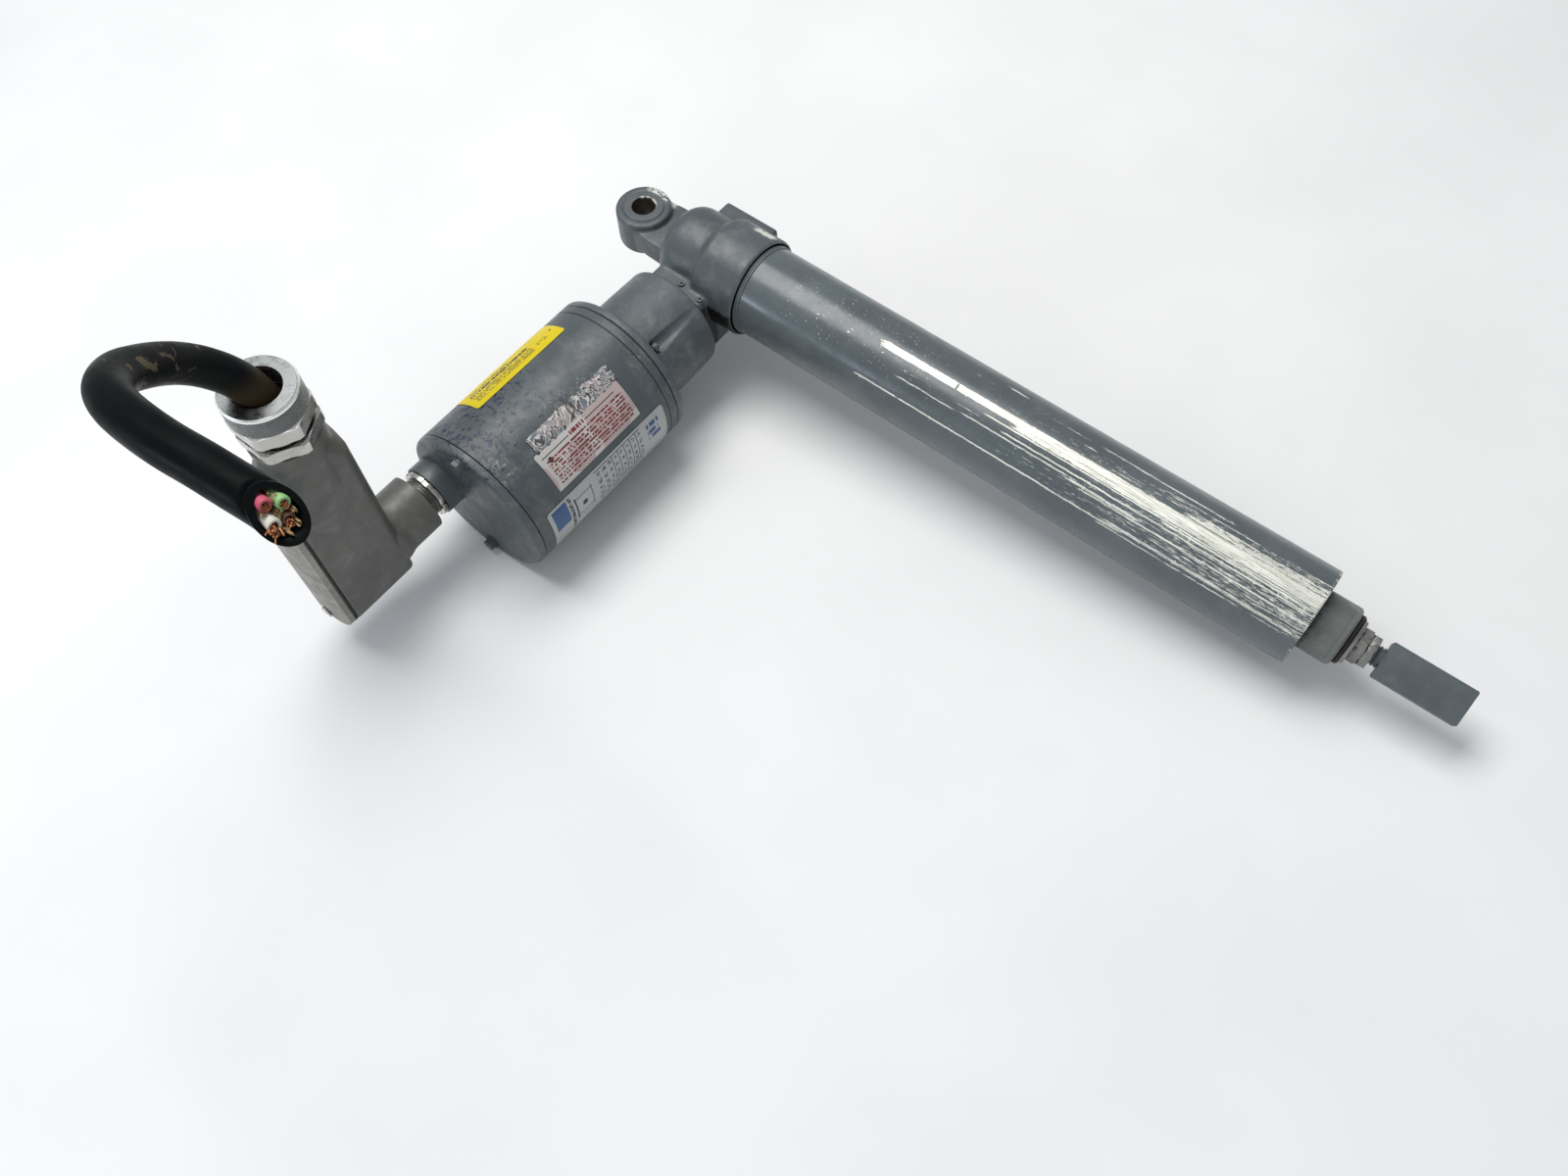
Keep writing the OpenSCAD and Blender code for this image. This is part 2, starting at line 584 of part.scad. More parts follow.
module cable_strands() color([0.7, 0.4, 0.2]) for (w = wire_places)
    end_frame() rotate([0, 0, w[1]]) translate([w[0], 0, wire_top(w) - 4])
        cylinder(r = copper_r, h = 5.5, $fn = 16);

module cable_filler() color([0.6, 0.5, 0.35]) end_frame() translate([0, 0, -24])
    cylinder(r = 1.1, h = 24, $fn = 12);

// ---- labels ----

// a thin curved plate on the shell, from one angle to another
module shell_label(a0, a1, y0, y1) translate([motor_x, y0, motor_z]) rotate([-90, 0, 0])
    rotate([0, 0, a0 - 90]) rotate_extrude(angle = a1 - a0) translate([motor_r, 0]) square([0.2, y1 - y0]);

module label_yellow() color([0.9, 0.8, 0.1]) shell_label(-50, -18, -194, -118);
module label_white() color([0.85, 0.82, 0.8]) shell_label(33, 65, -197, -125);
module nameplate() color([0.8, 0.85, 0.9]) shell_label(71, 112, -213, -109);

// ---- screw ----

module lead_screw() color(colour_steel) turned_x(concat([[32, 0], [32, 6], [32.5, 6.5], [69, 6.5],
    [69, 8.5], [86, 8.5]], [[90, screw_r - thread_depth]],
    [for (i = [0:floor((468 - 92) / screw_lead) - 1]) let (x = 92 + i * screw_lead) each
        [[x, screw_r - thread_depth], [x + screw_lead * 0.18, screw_r],
         [x + screw_lead * 0.5, screw_r], [x + screw_lead * 0.68, screw_r - thread_depth]]],
    [[470, screw_r - thread_depth], [470, 5], [475, 5], [475, 0]]));

// one tooth of the wheel, pointing down at the worm when turned by 0
module tooth() polygon([[-1.45, -9], [-1.3, -10.4], [-0.62, -wheel_pitch_r - 0.2],
    [-0.42, -wheel_pitch_r - 1.1], [0.42, -wheel_pitch_r - 1.1], [0.62, -wheel_pitch_r - 0.2],
    [1.3, -10.4], [1.45, -9]]);

module worm_wheel() color([0.7, 0.5, 0.25]) difference() {
    union() {
        translate([motor_x - 3.5, 0, 0]) rotate([90, 0, 90]) linear_extrude(7) union() {
            circle(10.55);
            for (k = [0:wheel_teeth - 1]) rotate(k * 360 / wheel_teeth) tooth();
        }
        xcyl(9.6, 46, 69);
    }
    xcyl(6.5, 45, 70);
    translate([48, -1.5, 6]) cube([19, 3, 2.3]);
}

module wheel_key() color(colour_steel) difference() {
    translate([48, -1.5, 6]) cube([19, 3, 2.3]);
    xcyl(6.5, 45, 70);
}

module screw_stop() color(colour_steel) difference() {
    xcyl(11.2, 470, 474);
    xcyl(5, 469, 475);
}

// ---- rotor ----

module worm_shaft() color(colour_steel) turned_motor([[-39, 0], [-39, 5], [-18.5, 5],
    [-18.5, 4], [34.5, 4], [35, 3.5], [35, 0]]);

worm_crest = worm_pitch_r + 1.1;
worm_root = worm_pitch_r - 1.3;
worm_turns = 6;
worm_step = 24; // degrees between the section's points
// section of the single-start worm: a crest about 0, flanks, then the root
function worm_radius(a) = let (b = min(a, 360 - a)) b < 46 ? worm_crest
    : b > 84 ? worm_root : worm_crest - (worm_crest - worm_root) * (b - 46) / 38;

// the thread's gap stands at the wheel's lowest tooth when the wheel is at rest
module worm() color([0.6, 0.6, 0.58]) difference() {
    translate([motor_x, -worm_turns * worm_lead / 2, motor_z]) rotate([-90, 0, 0])
        rotate([0, 0, 90]) linear_extrude(height = worm_turns * worm_lead, twist = -360 * worm_turns,
            slices = worm_turns * 360 / worm_step, $fn = 15)
            polygon([for (a = [0:worm_step:359]) worm_radius(a) * [cos(a), sin(a)]]);
    ycyl(4, -20, 20);
}

module shaft_coupling() color(colour_steel) difference() {
    ycyl(8.5, -47, -31);
    ycyl(5, -48, -30);
}

module rotor_shaft() color(colour_steel) turned_motor([[-39, 0], [-39, 5], [bell_y + 28, 5],
    [bell_y + 28, 7], [bell_y + 2, 7], [bell_y + 2, 8.5], [-210, 8.5], [-210, 5],
    [cap_y + 3, 5], [cap_y + 3, 0]]);

module rotor_core() color(colour_steel) difference() {
    ycyl(24.7, -200, -115);
    ycyl(8.5, -201, -114);
}

module rotor_end_rings() color([0.75, 0.75, 0.75]) for (span = [[-208, -200], [-115, -107]])
    difference() {
        ycyl(23, span[0], span[1]);
        ycyl(15, span[0] - e, span[1] + e);
    }

// ---- rod ----

module drive_nut() color([0.72, 0.53, 0.25]) difference() {
    union() {
        xcyl(22, nut_x0, rod_x0);
        xcyl(15, rod_x0 - e, rod_x0 + 28);
    }
    xcyl(screw_r + 0.35, nut_x0 - 1, rod_x0 + 29);
}

module nut_guide() color([0.85, 0.85, 0.8]) difference() {
    xcyl(tube_ri - gap, nut_x0, rod_x0);
    xcyl(22, nut_x0 - 1, rod_x0 + 1);
}

module rod_tube() color(colour_steel) difference() {
    xcyl(rod_r, rod_x0, rod_end_x - 4);
    xcyl(15, rod_x0 - 1, rod_x0 + 28);
    xcyl(12.5, rod_x0 + 27, rod_end_x - 22);
    xcyl(11, rod_end_x - 23, rod_end_x);
}

module rod_plug() color(colour_steel) difference() {
    union() {
        xcyl(11, rod_end_x - 20, rod_end_x - 4 + e);
        turned_x([[rod_end_x - 4, 0], [rod_end_x - 4, rod_r], [rod_end_x - 1.4, rod_r],
            [rod_end_x, rod_r - 1.6], [rod_end_x, 0]]);
    }
    xcyl(stud_r, rod_end_x - 16, rod_end_x + 1);
}

module rod_seal() color(colour_dark) difference() {
    xcyl(15.4, rod_end_x, rod_end_x + 2.6);
    xcyl(stud_r, rod_end_x - 1, rod_end_x + 3);
}

module rod_washer() color(colour_steel) turned_x([[rod_end_x + 2.6, stud_r], [rod_end_x + 2.6, 14.6],
    [rod_end_x + 3.4, 14.6], [rod_end_x + 3.8, 13.6], [rod_end_x + 5.2, 13.2], [rod_end_x + 5.2, stud_r]]);

module jam_nuts() color(colour_steel) for (n = [[5.2, 6, 20], [11.4, 4.6, 34]]) difference() {
    rotate([n[2], 0, 0]) intersection() {
        xhex(19.05, rod_end_x + n[0], rod_end_x + n[0] + n[1]);
        turned_x([[rod_end_x + n[0], 0], [rod_end_x + n[0], 9.6], [rod_end_x + n[0] + 0.9, 11.2],
            [rod_end_x + n[0] + n[1] - 0.9, 11.2], [rod_end_x + n[0] + n[1], 9.6],
            [rod_end_x + n[0] + n[1], 0]]);
    }
    xcyl(stud_r, rod_end_x, rod_end_x + 20);
}

module tang_end() color(colour_paint) {
    turned_x(concat([[rod_end_x - 16, 0]],
        [for (p = thread_profile(rod_end_x - 16, tang_x0, stud_r, 0.7, 1.95)) p],
        [[tang_x0, stud_r - 0.7], [tang_x0 + 3, stud_r - 2], [tang_x0 + 3, 0]]));
    rotate([tang_roll, 0, 0]) translate([0, 0, -tang_thick / 2]) linear_extrude(tang_thick)
        round_rect(tang_x0, tang_x0 + tang_length, -tang_width / 2, tang_width / 2, 1.2);
}

gear_housing();
eye_bushing();
worm_plug();
block_set_screws();
drive_end_bell();
bell_screws();
motor_shell();
motor_end_cap();
tie_bolts();
stator_core();
stator_windings();
motor_bearing_front();
motor_bearing_rear();
worm_bearing_near();
worm_bearing_far();
screw_rear_bearing();
screw_thrust_bearing();
bearing_retainer();
guide_tube();
tube_seal();
tube_ring();
front_guide();
rod_wiper();
conduit_nipple();
conduit_lock_ring();
conduit_elbow();
elbow_gasket();
elbow_cover();
elbow_cover_screws();
gland_body();
gland_nut();
gland_seal();
supply_cable();
cable_wires();
cable_strands();
cable_filler();
label_yellow();
label_white();
nameplate();
lead_screw();
worm_wheel();
wheel_key();
screw_stop();
rotor_shaft();
rotor_core();
rotor_end_rings();
shaft_coupling();
worm_shaft();
worm();
drive_nut();
nut_guide();
rod_tube();
rod_plug();
rod_seal();
rod_washer();
jam_nuts();
tang_end();
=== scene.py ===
import math
import random

import bmesh
import bpy
from mathutils import Matrix, Vector, noise


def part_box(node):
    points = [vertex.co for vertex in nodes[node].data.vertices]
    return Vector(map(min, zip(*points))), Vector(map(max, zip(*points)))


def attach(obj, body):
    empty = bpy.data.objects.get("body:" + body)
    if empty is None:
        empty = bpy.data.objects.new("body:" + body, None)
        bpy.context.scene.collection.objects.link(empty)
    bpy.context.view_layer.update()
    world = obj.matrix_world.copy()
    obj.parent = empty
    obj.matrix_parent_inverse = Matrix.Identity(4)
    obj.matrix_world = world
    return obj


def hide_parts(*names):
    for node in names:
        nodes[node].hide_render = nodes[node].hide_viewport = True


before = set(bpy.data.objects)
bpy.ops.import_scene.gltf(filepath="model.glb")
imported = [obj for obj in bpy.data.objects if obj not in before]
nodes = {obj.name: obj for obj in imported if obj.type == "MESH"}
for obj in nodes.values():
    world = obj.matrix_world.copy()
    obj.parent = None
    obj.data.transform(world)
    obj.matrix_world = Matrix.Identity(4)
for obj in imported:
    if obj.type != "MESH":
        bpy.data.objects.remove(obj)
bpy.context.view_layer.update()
MM = 0.001


# ---- sizes in millimetres; all but BLOCK_REACH are read from the CAD frame ----

def box_mm(node):
    low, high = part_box(node)
    return low / MM, high / MM


def middle(node):
    low, high = box_mm(node)
    return (low + high) / 2


tube_lo, tube_hi = box_mm("guide_tube")
TUBE_R = tube_hi.y
TUBE_X0, TUBE_X1 = tube_lo.x, tube_hi.x
HOUSE_FRONT, HOUSE_SIDE = box_mm("gear_housing")[1].x, box_mm("gear_housing")[1].y
bush_lo, bush_hi = box_mm("eye_bushing")
BUSH_MID = middle("eye_bushing")
BORE_R = min(math.hypot(v.co.x / MM - BUSH_MID.x, v.co.y / MM - BUSH_MID.y)
             for v in nodes["eye_bushing"].data.vertices)
shell_lo, shell_hi = box_mm("motor_shell")
MOTOR_R = (shell_hi.x - shell_lo.x) / 2
MOTOR_X, MOTOR_Z = middle("motor_shell").x, middle("motor_shell").z
BELL_Y, CAP_Y = shell_hi.y, shell_lo.y
BLOCK_REACH = 24.2  # from the motor's axis to the worm block's end on the tube's side
BLOCK_END_X = MOTOR_X + BLOCK_REACH
elbow_lo, elbow_hi = box_mm("conduit_elbow")
NIPPLE = middle("conduit_nipple")
NUT_MID, NUT_TOP = middle("gland_nut"), box_mm("gland_nut")[1].z
ROD_END_X = box_mm("rod_plug")[1].x


# ---- camera ----

CAMERA_AT = Vector((470.43, -430.21, 641.44)) * MM
CAMERA_TURN = (0.6967, 1.0774, -0.0358)
CAMERA_LENS, CAMERA_SENSOR = 29.257, 36


def make_camera():
    """The photograph's camera; its turn is azimuth, elevation and roll, in radians."""
    az, el, roll = CAMERA_TURN
    back = Vector((math.sin(az) * math.cos(el), -math.cos(az) * math.cos(el), math.sin(el)))
    level = Vector((math.cos(az), math.sin(az), 0))
    upright = back.cross(level)
    right = math.cos(roll) * level + math.sin(roll) * upright
    up = math.cos(roll) * upright - math.sin(roll) * level
    turn = Matrix((right, up, back)).transposed().to_4x4()
    data = bpy.data.cameras.new("camera")
    data.lens, data.sensor_width = CAMERA_LENS, CAMERA_SENSOR
    data.clip_start, data.clip_end = 0.01, 100
    camera = bpy.data.objects.new("camera", data)
    bpy.context.scene.collection.objects.link(camera)
    camera.matrix_world = Matrix.Translation(CAMERA_AT) @ turn
    bpy.context.scene.camera = camera


make_camera()


# ---- node graphs ----

class Graph:
    """A material's node tree, with short calls for the nodes used here."""

    def __init__(self, name, rough=0.5, metal=0.0, **sockets):
        self.mat = bpy.data.materials.new(name)
        self.mat.use_nodes = True
        self.tree = self.mat.node_tree
        self.bsdf = self.tree.nodes["Principled BSDF"]
        self.bsdf.inputs["Roughness"].default_value = rough
        self.bsdf.inputs["Metallic"].default_value = metal
        for key, value in sockets.items():
            self.bsdf.inputs[key.replace("_", " ")].default_value = value

    def new(self, kind, **settings):
        node = self.tree.nodes.new("ShaderNode" + kind)
        for key, value in settings.items():
            setattr(node, key, value)
        return node

    def put(self, socket, value):
        if isinstance(value, bpy.types.NodeSocket):
            self.tree.links.new(value, socket)
        elif value is not None:
            if hasattr(socket.default_value, "__len__") and hasattr(value, "__len__"):
                value = tuple(value) + (1.0,) * (len(socket.default_value) - len(value))
            socket.default_value = value

    def math(self, op, a, b=None, c=None):
        node = self.new("Math", operation=op)
        for socket, value in zip(node.inputs, (a, b, c)):
            self.put(socket, value)
        return node.outputs[0]

    def times(self, first, *more):
        """The product of its values."""
        for value in more:
            first = self.math("MULTIPLY", first, value)
        return first

    def plus(self, a, b):
        return self.math("ADD", a, b)

    def minus(self, a, b):
        return self.math("SUBTRACT", a, b)

    def most(self, first, *more):
        """The largest of its values."""
        for value in more:
            first = self.math("MAXIMUM", first, value)
        return first

    def ramp(self, value, low, high, to_low=0.0, to_high=1.0):
        node = self.new("MapRange", interpolation_type="SMOOTHSTEP")
        for key, v in zip(("Value", "From Min", "From Max", "To Min", "To Max"),
                          (value, low, high, to_low, to_high)):
            self.put(node.inputs[key], v)
        return node.outputs["Result"]

    def between(self, value, low, high, soft):
        """1 between low and high, with soft shoulders outside them."""
        return self.times(self.ramp(value, low - soft, low), self.ramp(value, high, high + soft, 1, 0))

    def mix(self, fac, a, b):
        """Colour a where fac is 0, and colour b where it is 1."""
        node = self.new("Mix", data_type="RGBA")
        self.put(node.inputs["Factor"], fac)
        self.put(node.inputs[6], a)
        self.put(node.inputs[7], b)
        return node.outputs[2]

    def point(self):
        return self.new("TexCoord").outputs["Object"]

    def split(self, vector):
        node = self.new("SeparateXYZ")
        self.put(node.inputs[0], vector)
        return node.outputs

    def in_mm(self, p):
        """A point's three coordinates in millimetres."""
        return tuple(self.times(value, 1 / MM) for value in self.split(p))

    def join(self, x, y, z):
        node = self.new("CombineXYZ")
        for socket, value in zip(node.inputs, (x, y, z)):
            self.put(socket, value)
        return node.outputs[0]

    def noise(self, vector, scale, detail=2.0, rough=0.5, distort=0.0):
        node = self.new("TexNoise")
        self.put(node.inputs["Vector"], vector)
        for key, value in (("Scale", scale), ("Detail", detail), ("Roughness", rough),
                           ("Distortion", distort)):
            node.inputs[key].default_value = value
        return node.outputs["Fac"]


    def crevice(self, reach):
        """1 deep in corners and gaps, 0 on open faces."""
        node = self.new("AmbientOcclusion", samples=4)
        node.inputs["Distance"].default_value = reach
        return self.minus(1.0, node.outputs["AO"])

    def bump(self, height, strength, distance=0.0005, normal=None):
        node = self.new("Bump")
        self.put(node.inputs["Height"], height)
        node.inputs["Strength"].default_value = strength
        node.inputs["Distance"].default_value = distance
        if normal is not None:
            self.put(node.inputs["Normal"], normal)
        return node.outputs["Normal"]

    def finish(self, colour, rough, normal):
        for key, value in (("Base Color", colour), ("Roughness", rough), ("Normal", normal)):
            if value is not None:
                self.put(self.bsdf.inputs[key], value)
        return self.mat

    def angle_about(self, a, b):
        """Degrees from the second axis towards the first."""
        return self.times(self.math("ARCTAN2", a, b), 180 / math.pi)

    def radius_of(self, a, b):
        return self.math("SQRT", self.plus(self.times(a, a), self.times(b, b)))


def shade(colour, factor):
    return tuple(c * factor for c in colour)


# ---- materials ----

# colours, as linear red, green and blue
PAINT = (0.086, 0.104, 0.113)
ROD_PAINT = (0.118, 0.132, 0.126)
ROD_SKIN_PAINT = (0.112, 0.122, 0.114)
# painted shade for the paint's corners and gaps
CORNER_SHADE = (0.022, 0.019, 0.016)
# painted shade for bare metal's corners and gaps
METAL_CORNER_SHADE = (0.05, 0.045, 0.04)
DUST = (0.30, 0.31, 0.29)
SPECK = (0.03, 0.035, 0.045)
NAVY_CHIP = (0.006, 0.014, 0.045)
RUBBED_PAINT = (0.46, 0.46, 0.42)
RIM_SCUFF = (0.035, 0.04, 0.045)
SEAM_BLACK = (0.008, 0.009, 0.010)
DULL_STEEL, BRIGHT_STEEL = (0.50, 0.50, 0.43), (0.90, 0.90, 0.83)
STEEL_PIT = (0.24, 0.22, 0.16)
SMUDGE = (0.025, 0.028, 0.030)
BRIGHT_RUB = (0.60, 0.60, 0.55)
# painted shade for the pocket under the housing's collar and the collar's mouth
POCKET_SHADE = (0.006, 0.006, 0.006)
BORE_GREASE, BORE_RUB = (0.035, 0.022, 0.010), (0.62, 0.60, 0.52)
# painted shade where the rod enters the tube, then a dirty ring round the rod's end
ROD_MOUTH_SHADE, ROD_RING_DIRT = (0.018, 0.018, 0.018), (0.10, 0.095, 0.06)
CHROME = (0.75, 0.75, 0.75)
CABLE_TAN, CABLE_HAZE, CABLE_BROWN = (0.13, 0.105, 0.065), (0.012, 0.012, 0.012), (0.055, 0.040, 0.022)


def paint(name, base=PAINT, specks=0.35, dust=0.25, grime=1.0, cast=0.25, extra=None):
    """Blue-grey machine paint: cloudy tone, faint dust, tiny dark specks and painted shade in the corners.
    """
    g = Graph(name, rough=0.42)
    p = g.point()
    cloud = g.noise(p, 22, 4, 0.6)
    colour = g.mix(g.ramp(cloud, 0.3, 0.7), shade(base, 0.86), shade(base, 1.12))
    film = g.ramp(g.noise(p, 60, 5, 0.7, 0.3), 0.48, 0.78, 0.0, dust)
    colour = g.mix(film, colour, DUST)
    dots = g.ramp(g.noise(p, 620, 2, 0.6), 0.66, 0.70)
    patches = g.ramp(g.noise(p, 30, 2), 0.45, 0.7)
    colour = g.mix(g.times(dots, patches, specks), colour, SPECK)
    # painted shade: darker where ambient occlusion finds corners and gaps
    corner = g.ramp(g.crevice(0.004), 0.28, 0.85, 0.0, 0.85 * grime)
    colour = g.mix(corner, colour, CORNER_SHADE)
    height = g.plus(g.times(g.noise(p, 260, 3, 0.55), 0.7), g.times(g.noise(p, 900, 2), 0.25))
    normal = g.bump(height, cast, 0.0006)
    rough = g.ramp(g.noise(p, 90, 4, 0.65), 0.3, 0.75, 0.34, 0.56)
    if extra:
        colour, rough, normal = extra(g, p, colour, rough, normal)
    return g.finish(colour, rough, normal)


def metal(name, base, rough=0.35, cast=0.15, grain=(1, 1, 1), dirt=0.5):
    """Bare metal with stretched grain, uneven roughness and painted shade in the corners."""
    g = Graph(name, rough=rough, metal=1.0)
    p = g.point()
    stretched = g.join(*(g.times(value, finer) for value, finer in zip(g.split(p), grain)))
    lines = g.noise(stretched, 420, 3, 0.6)
    colour = g.mix(g.ramp(g.noise(p, 70, 4, 0.6), 0.3, 0.75), shade(base, 0.78), shade(base, 1.08))
    colour = g.mix(g.ramp(lines, 0.35, 0.7, 0, 0.35), colour, shade(base, 0.7))
    # painted shade: darker where ambient occlusion finds corners and gaps
    colour = g.mix(g.ramp(g.crevice(0.003), 0.25, 0.9, 0.0, dirt), colour, METAL_CORNER_SHADE)
    value = g.ramp(g.noise(p, 120, 4, 0.7), 0.3, 0.75, rough * 0.75, min(1.0, rough * 1.45))
    return g.finish(colour, value, g.bump(lines, cast, 0.0003))


def plain(name, base, rough=0.6, cast=0.2, scale=500, vary=0.25, extra=None, **sockets):
    """A non-metal with mottled colour and fine bump."""
    g = Graph(name, rough=rough, **sockets)
    p = g.point()
    mottle = g.ramp(g.noise(p, scale / 9, 4, 0.6), 0.3, 0.7)
    colour = g.mix(mottle, shade(base, 1 - vary), shade(base, 1 + vary))
    normal = g.bump(g.noise(p, scale, 3, 0.6), cast, 0.0004)
    value = g.ramp(g.noise(p, scale / 5, 3), 0.3, 0.7, rough * 0.85, min(1.0, rough * 1.15))
    if extra:
        colour, value, normal = extra(g, p, colour, value, normal)
    return g.finish(colour, value, normal)


def motor_wear(g, p, colour, rough, normal):
    """Navy chips, pale rubbed patches, dark rims and black seams on the motor's shell and cap."""
    x, y, z = g.in_mm(p)
    angle = g.angle_about(g.minus(x, MOTOR_X), g.minus(z, MOTOR_Z))
    chips = g.ramp(g.noise(p, 330, 3, 0.6, 0.6), 0.545, 0.565)
    zone = g.times(g.between(angle, -34, 22, 16), g.between(y, CAP_Y + 4, CAP_Y + 42, 44))
    thin = g.ramp(g.noise(p, 75, 3, 0.6), 0.38, 0.54)
    colour = g.mix(g.times(chips, zone, thin), colour, NAVY_CHIP)
    # pale rubbed paint beside the white label and towards the cap
    place = g.times(g.between(angle, 20, 34, 10), g.between(y, CAP_Y + 4, BELL_Y - 8, 10))
    rub = g.times(g.ramp(g.noise(p, 260, 5, 0.75, 0.4), 0.47, 0.66), place,
                  g.ramp(g.noise(p, 45, 3), 0.42, 0.62))
    colour = g.mix(g.times(rub, 0.55), colour, RUBBED_PAINT)
    # dark scuffs along the rims
    rim = g.most(g.between(y, BELL_Y - 9, BELL_Y - 1, 2), g.between(y, CAP_Y - 1, CAP_Y + 3, 2))
    spots = g.times(rim, g.ramp(g.noise(p, 330, 4, 0.7), 0.56, 0.64))
    colour = g.mix(g.times(spots, 0.8), colour, RIM_SCUFF)
    # black lines where the shell meets the bell and the cap, and in its groove
    lines = g.most(g.between(y, BELL_Y - 0.9, BELL_Y + 0.2, 0.1),
                   g.between(y, BELL_Y - 7.3, BELL_Y - 6.7, 0.15),
                   g.between(y, CAP_Y - 0.3, CAP_Y + 0.3, 0.15))
    colour = g.mix(g.times(lines, 0.92), colour, SEAM_BLACK)
    return colour, g.plus(rough, g.times(rub, 0.2)), normal


# scrapes along the tube: (angle from the top and half width in degrees, first x, last x, how bare)
TUBE_END = TUBE_X1 + 2
FLAKING_HALF = 0.85  # a scrape wider than this also has flakes along its edges
SCRAPES = (
    (-65.3, 0.7, 369, 484, 0.55), (-62.0, 1.0, 195, 227, 1.0), (-62.0, 1.0, 229, 384, 0.9),
    (-59.0, 1.5, 369, TUBE_END, 0.72), (-51.3, 0.9, 400, TUBE_END, 0.42), (-47.3, 1.2, 440, TUBE_END, 0.5),
    (-43.2, 0.9, 352, TUBE_END, 0.85), (-40.2, 1.2, 341, 388, 0.9), (-39.6, 0.7, 219, 264, 0.85),
    (-38.0, 0.8, 268, 346, 0.8), (-35.3, 0.6, 420, TUBE_END, 0.55), (-33.0, 0.9, 296, TUBE_END, 0.95),
    (-30.7, 0.7, 224, 291, 0.30), (-28.3, 1.2, 399, TUBE_END, 0.8), (-25.5, 0.8, 279, TUBE_END, 0.95),
    (-21.5, 2.3, 299, TUBE_END, 0.90), (-14.6, 4.3, 203, TUBE_END, 0.98), (-7.6, 1.6, 410, TUBE_END, 0.86),
    (-3.4, 2.1, 416, TUBE_END, 0.62), (5.5, 0.7, 394, TUBE_END, 0.5), (13.0, 1.1, 350, 431, 0.7),
    (13.0, 0.7, 262, 350, 0.28), (22.5, 1.3, 281, 292, 0.8))


def tube_wear(g, p, colour, rough, normal):
    """Paint scraped off in long streaks along the tube, more and more towards the open end."""
    x, y, z = g.in_mm(p)
    angle = g.angle_about(y, z)

    def streaky(long, across, offset, detail=4, rough=0.65):
        """Noise with features so many millimetres long and so many degrees across."""
        at = g.join(g.math("DIVIDE", x, long), g.math("DIVIDE", angle, across), offset)
        return g.noise(at, 1.0, detail, rough)

    # ragged edges: small wobbles, and now and then a flake that reaches further out
    wobble = g.times(g.minus(streaky(7.0, 60, 0.3, 5, 0.8), 0.5), 2.8)
    flakes = g.times(g.ramp(streaky(3.2, 9, 5.1, 3), 0.60, 0.72), 1.6)
    ragged = g.plus(angle, wobble)
    ends = g.plus(x, g.times(g.minus(streaky(60, 1.1, 2.2, 3), 0.5), 26.0))
    lanes = []
    for centre, half, first, last, share in SCRAPES:
        reach = g.plus(flakes, half) if half > FLAKING_HALF else half
        lane = g.math("COMPARE", ragged, centre, reach)
        stretch = g.math("COMPARE", ends, (first + last) / 2, (last - first) / 2)
        lanes.append(g.times(lane, stretch, share))
    # stray scratches and flakes on the worn side, thicker towards the open end
    side = g.between(angle, -56, -2, 14)
    stray = g.times(side, g.ramp(x, 235, TUBE_X1, 0.0, 0.33))
    cover = g.most(*lanes, stray)
    breaks = g.plus(g.times(streaky(24, 0.85, 7.7, 5, 0.7), 0.66), g.times(streaky(5.0, 2.2, 9.1, 3), 0.34))
    breaks = g.ramp(breaks, 0.34, 0.66)
    bare = g.math("GREATER_THAN", cover, breaks)
    # tiny chips before the streaks start, and nicks along the open end's rim
    spots = g.times(g.between(x, 140, 240, 20), g.between(angle, -45, 14, 10))
    chips = g.times(g.math("GREATER_THAN", g.noise(p, 820, 1, 0.4), 0.735), spots)
    lip = g.times(g.ramp(x, TUBE_X1 - 1.8, TUBE_X1 - 1.0), g.ramp(g.noise(p, 300, 3, 0.7), 0.52, 0.56))
    bare = g.most(bare, chips, lip)
    # one old dent right across the streaks
    dent = g.times(g.math("COMPARE", g.plus(x, wobble), 257.0, 0.6), g.math("COMPARE", ragged, -24.0, 13.0))
    bare = g.times(bare, g.minus(1.0, dent))
    # the bare metal: streaks of dull and bright steel, and pits
    steel = g.mix(g.ramp(streaky(18, 1.2, 3.3, 5, 0.7), 0.38, 0.62), DULL_STEEL, BRIGHT_STEEL)
    steel = g.mix(g.ramp(g.noise(p, 640, 4, 0.75), 0.60, 0.66, 0, 0.75), steel, STEEL_PIT)
    # a dark smudge near the collar, then the scrapes' darker edges, then the scrapes
    smudge = g.times(g.between(x, 132, 172, 6), g.between(angle, -14, -7, 3),
                     g.ramp(g.noise(p, 260, 4, 0.7), 0.52, 0.62))
    colour = g.mix(g.times(smudge, 0.6), colour, SMUDGE)
    edge = g.times(g.ramp(g.minus(cover, breaks), -0.10, 0.0), 0.35)
    colour = g.mix(edge, colour, shade(PAINT, 0.55))
    colour = g.mix(bare, colour, steel)
    rough = g.plus(g.times(rough, 0.62), g.times(bare, 0.12))
    g.put(g.bsdf.inputs["Metallic"], g.times(bare, 0.25))
    return colour, rough, g.bump(g.minus(1.0, bare), 0.4, 0.0002, normal)


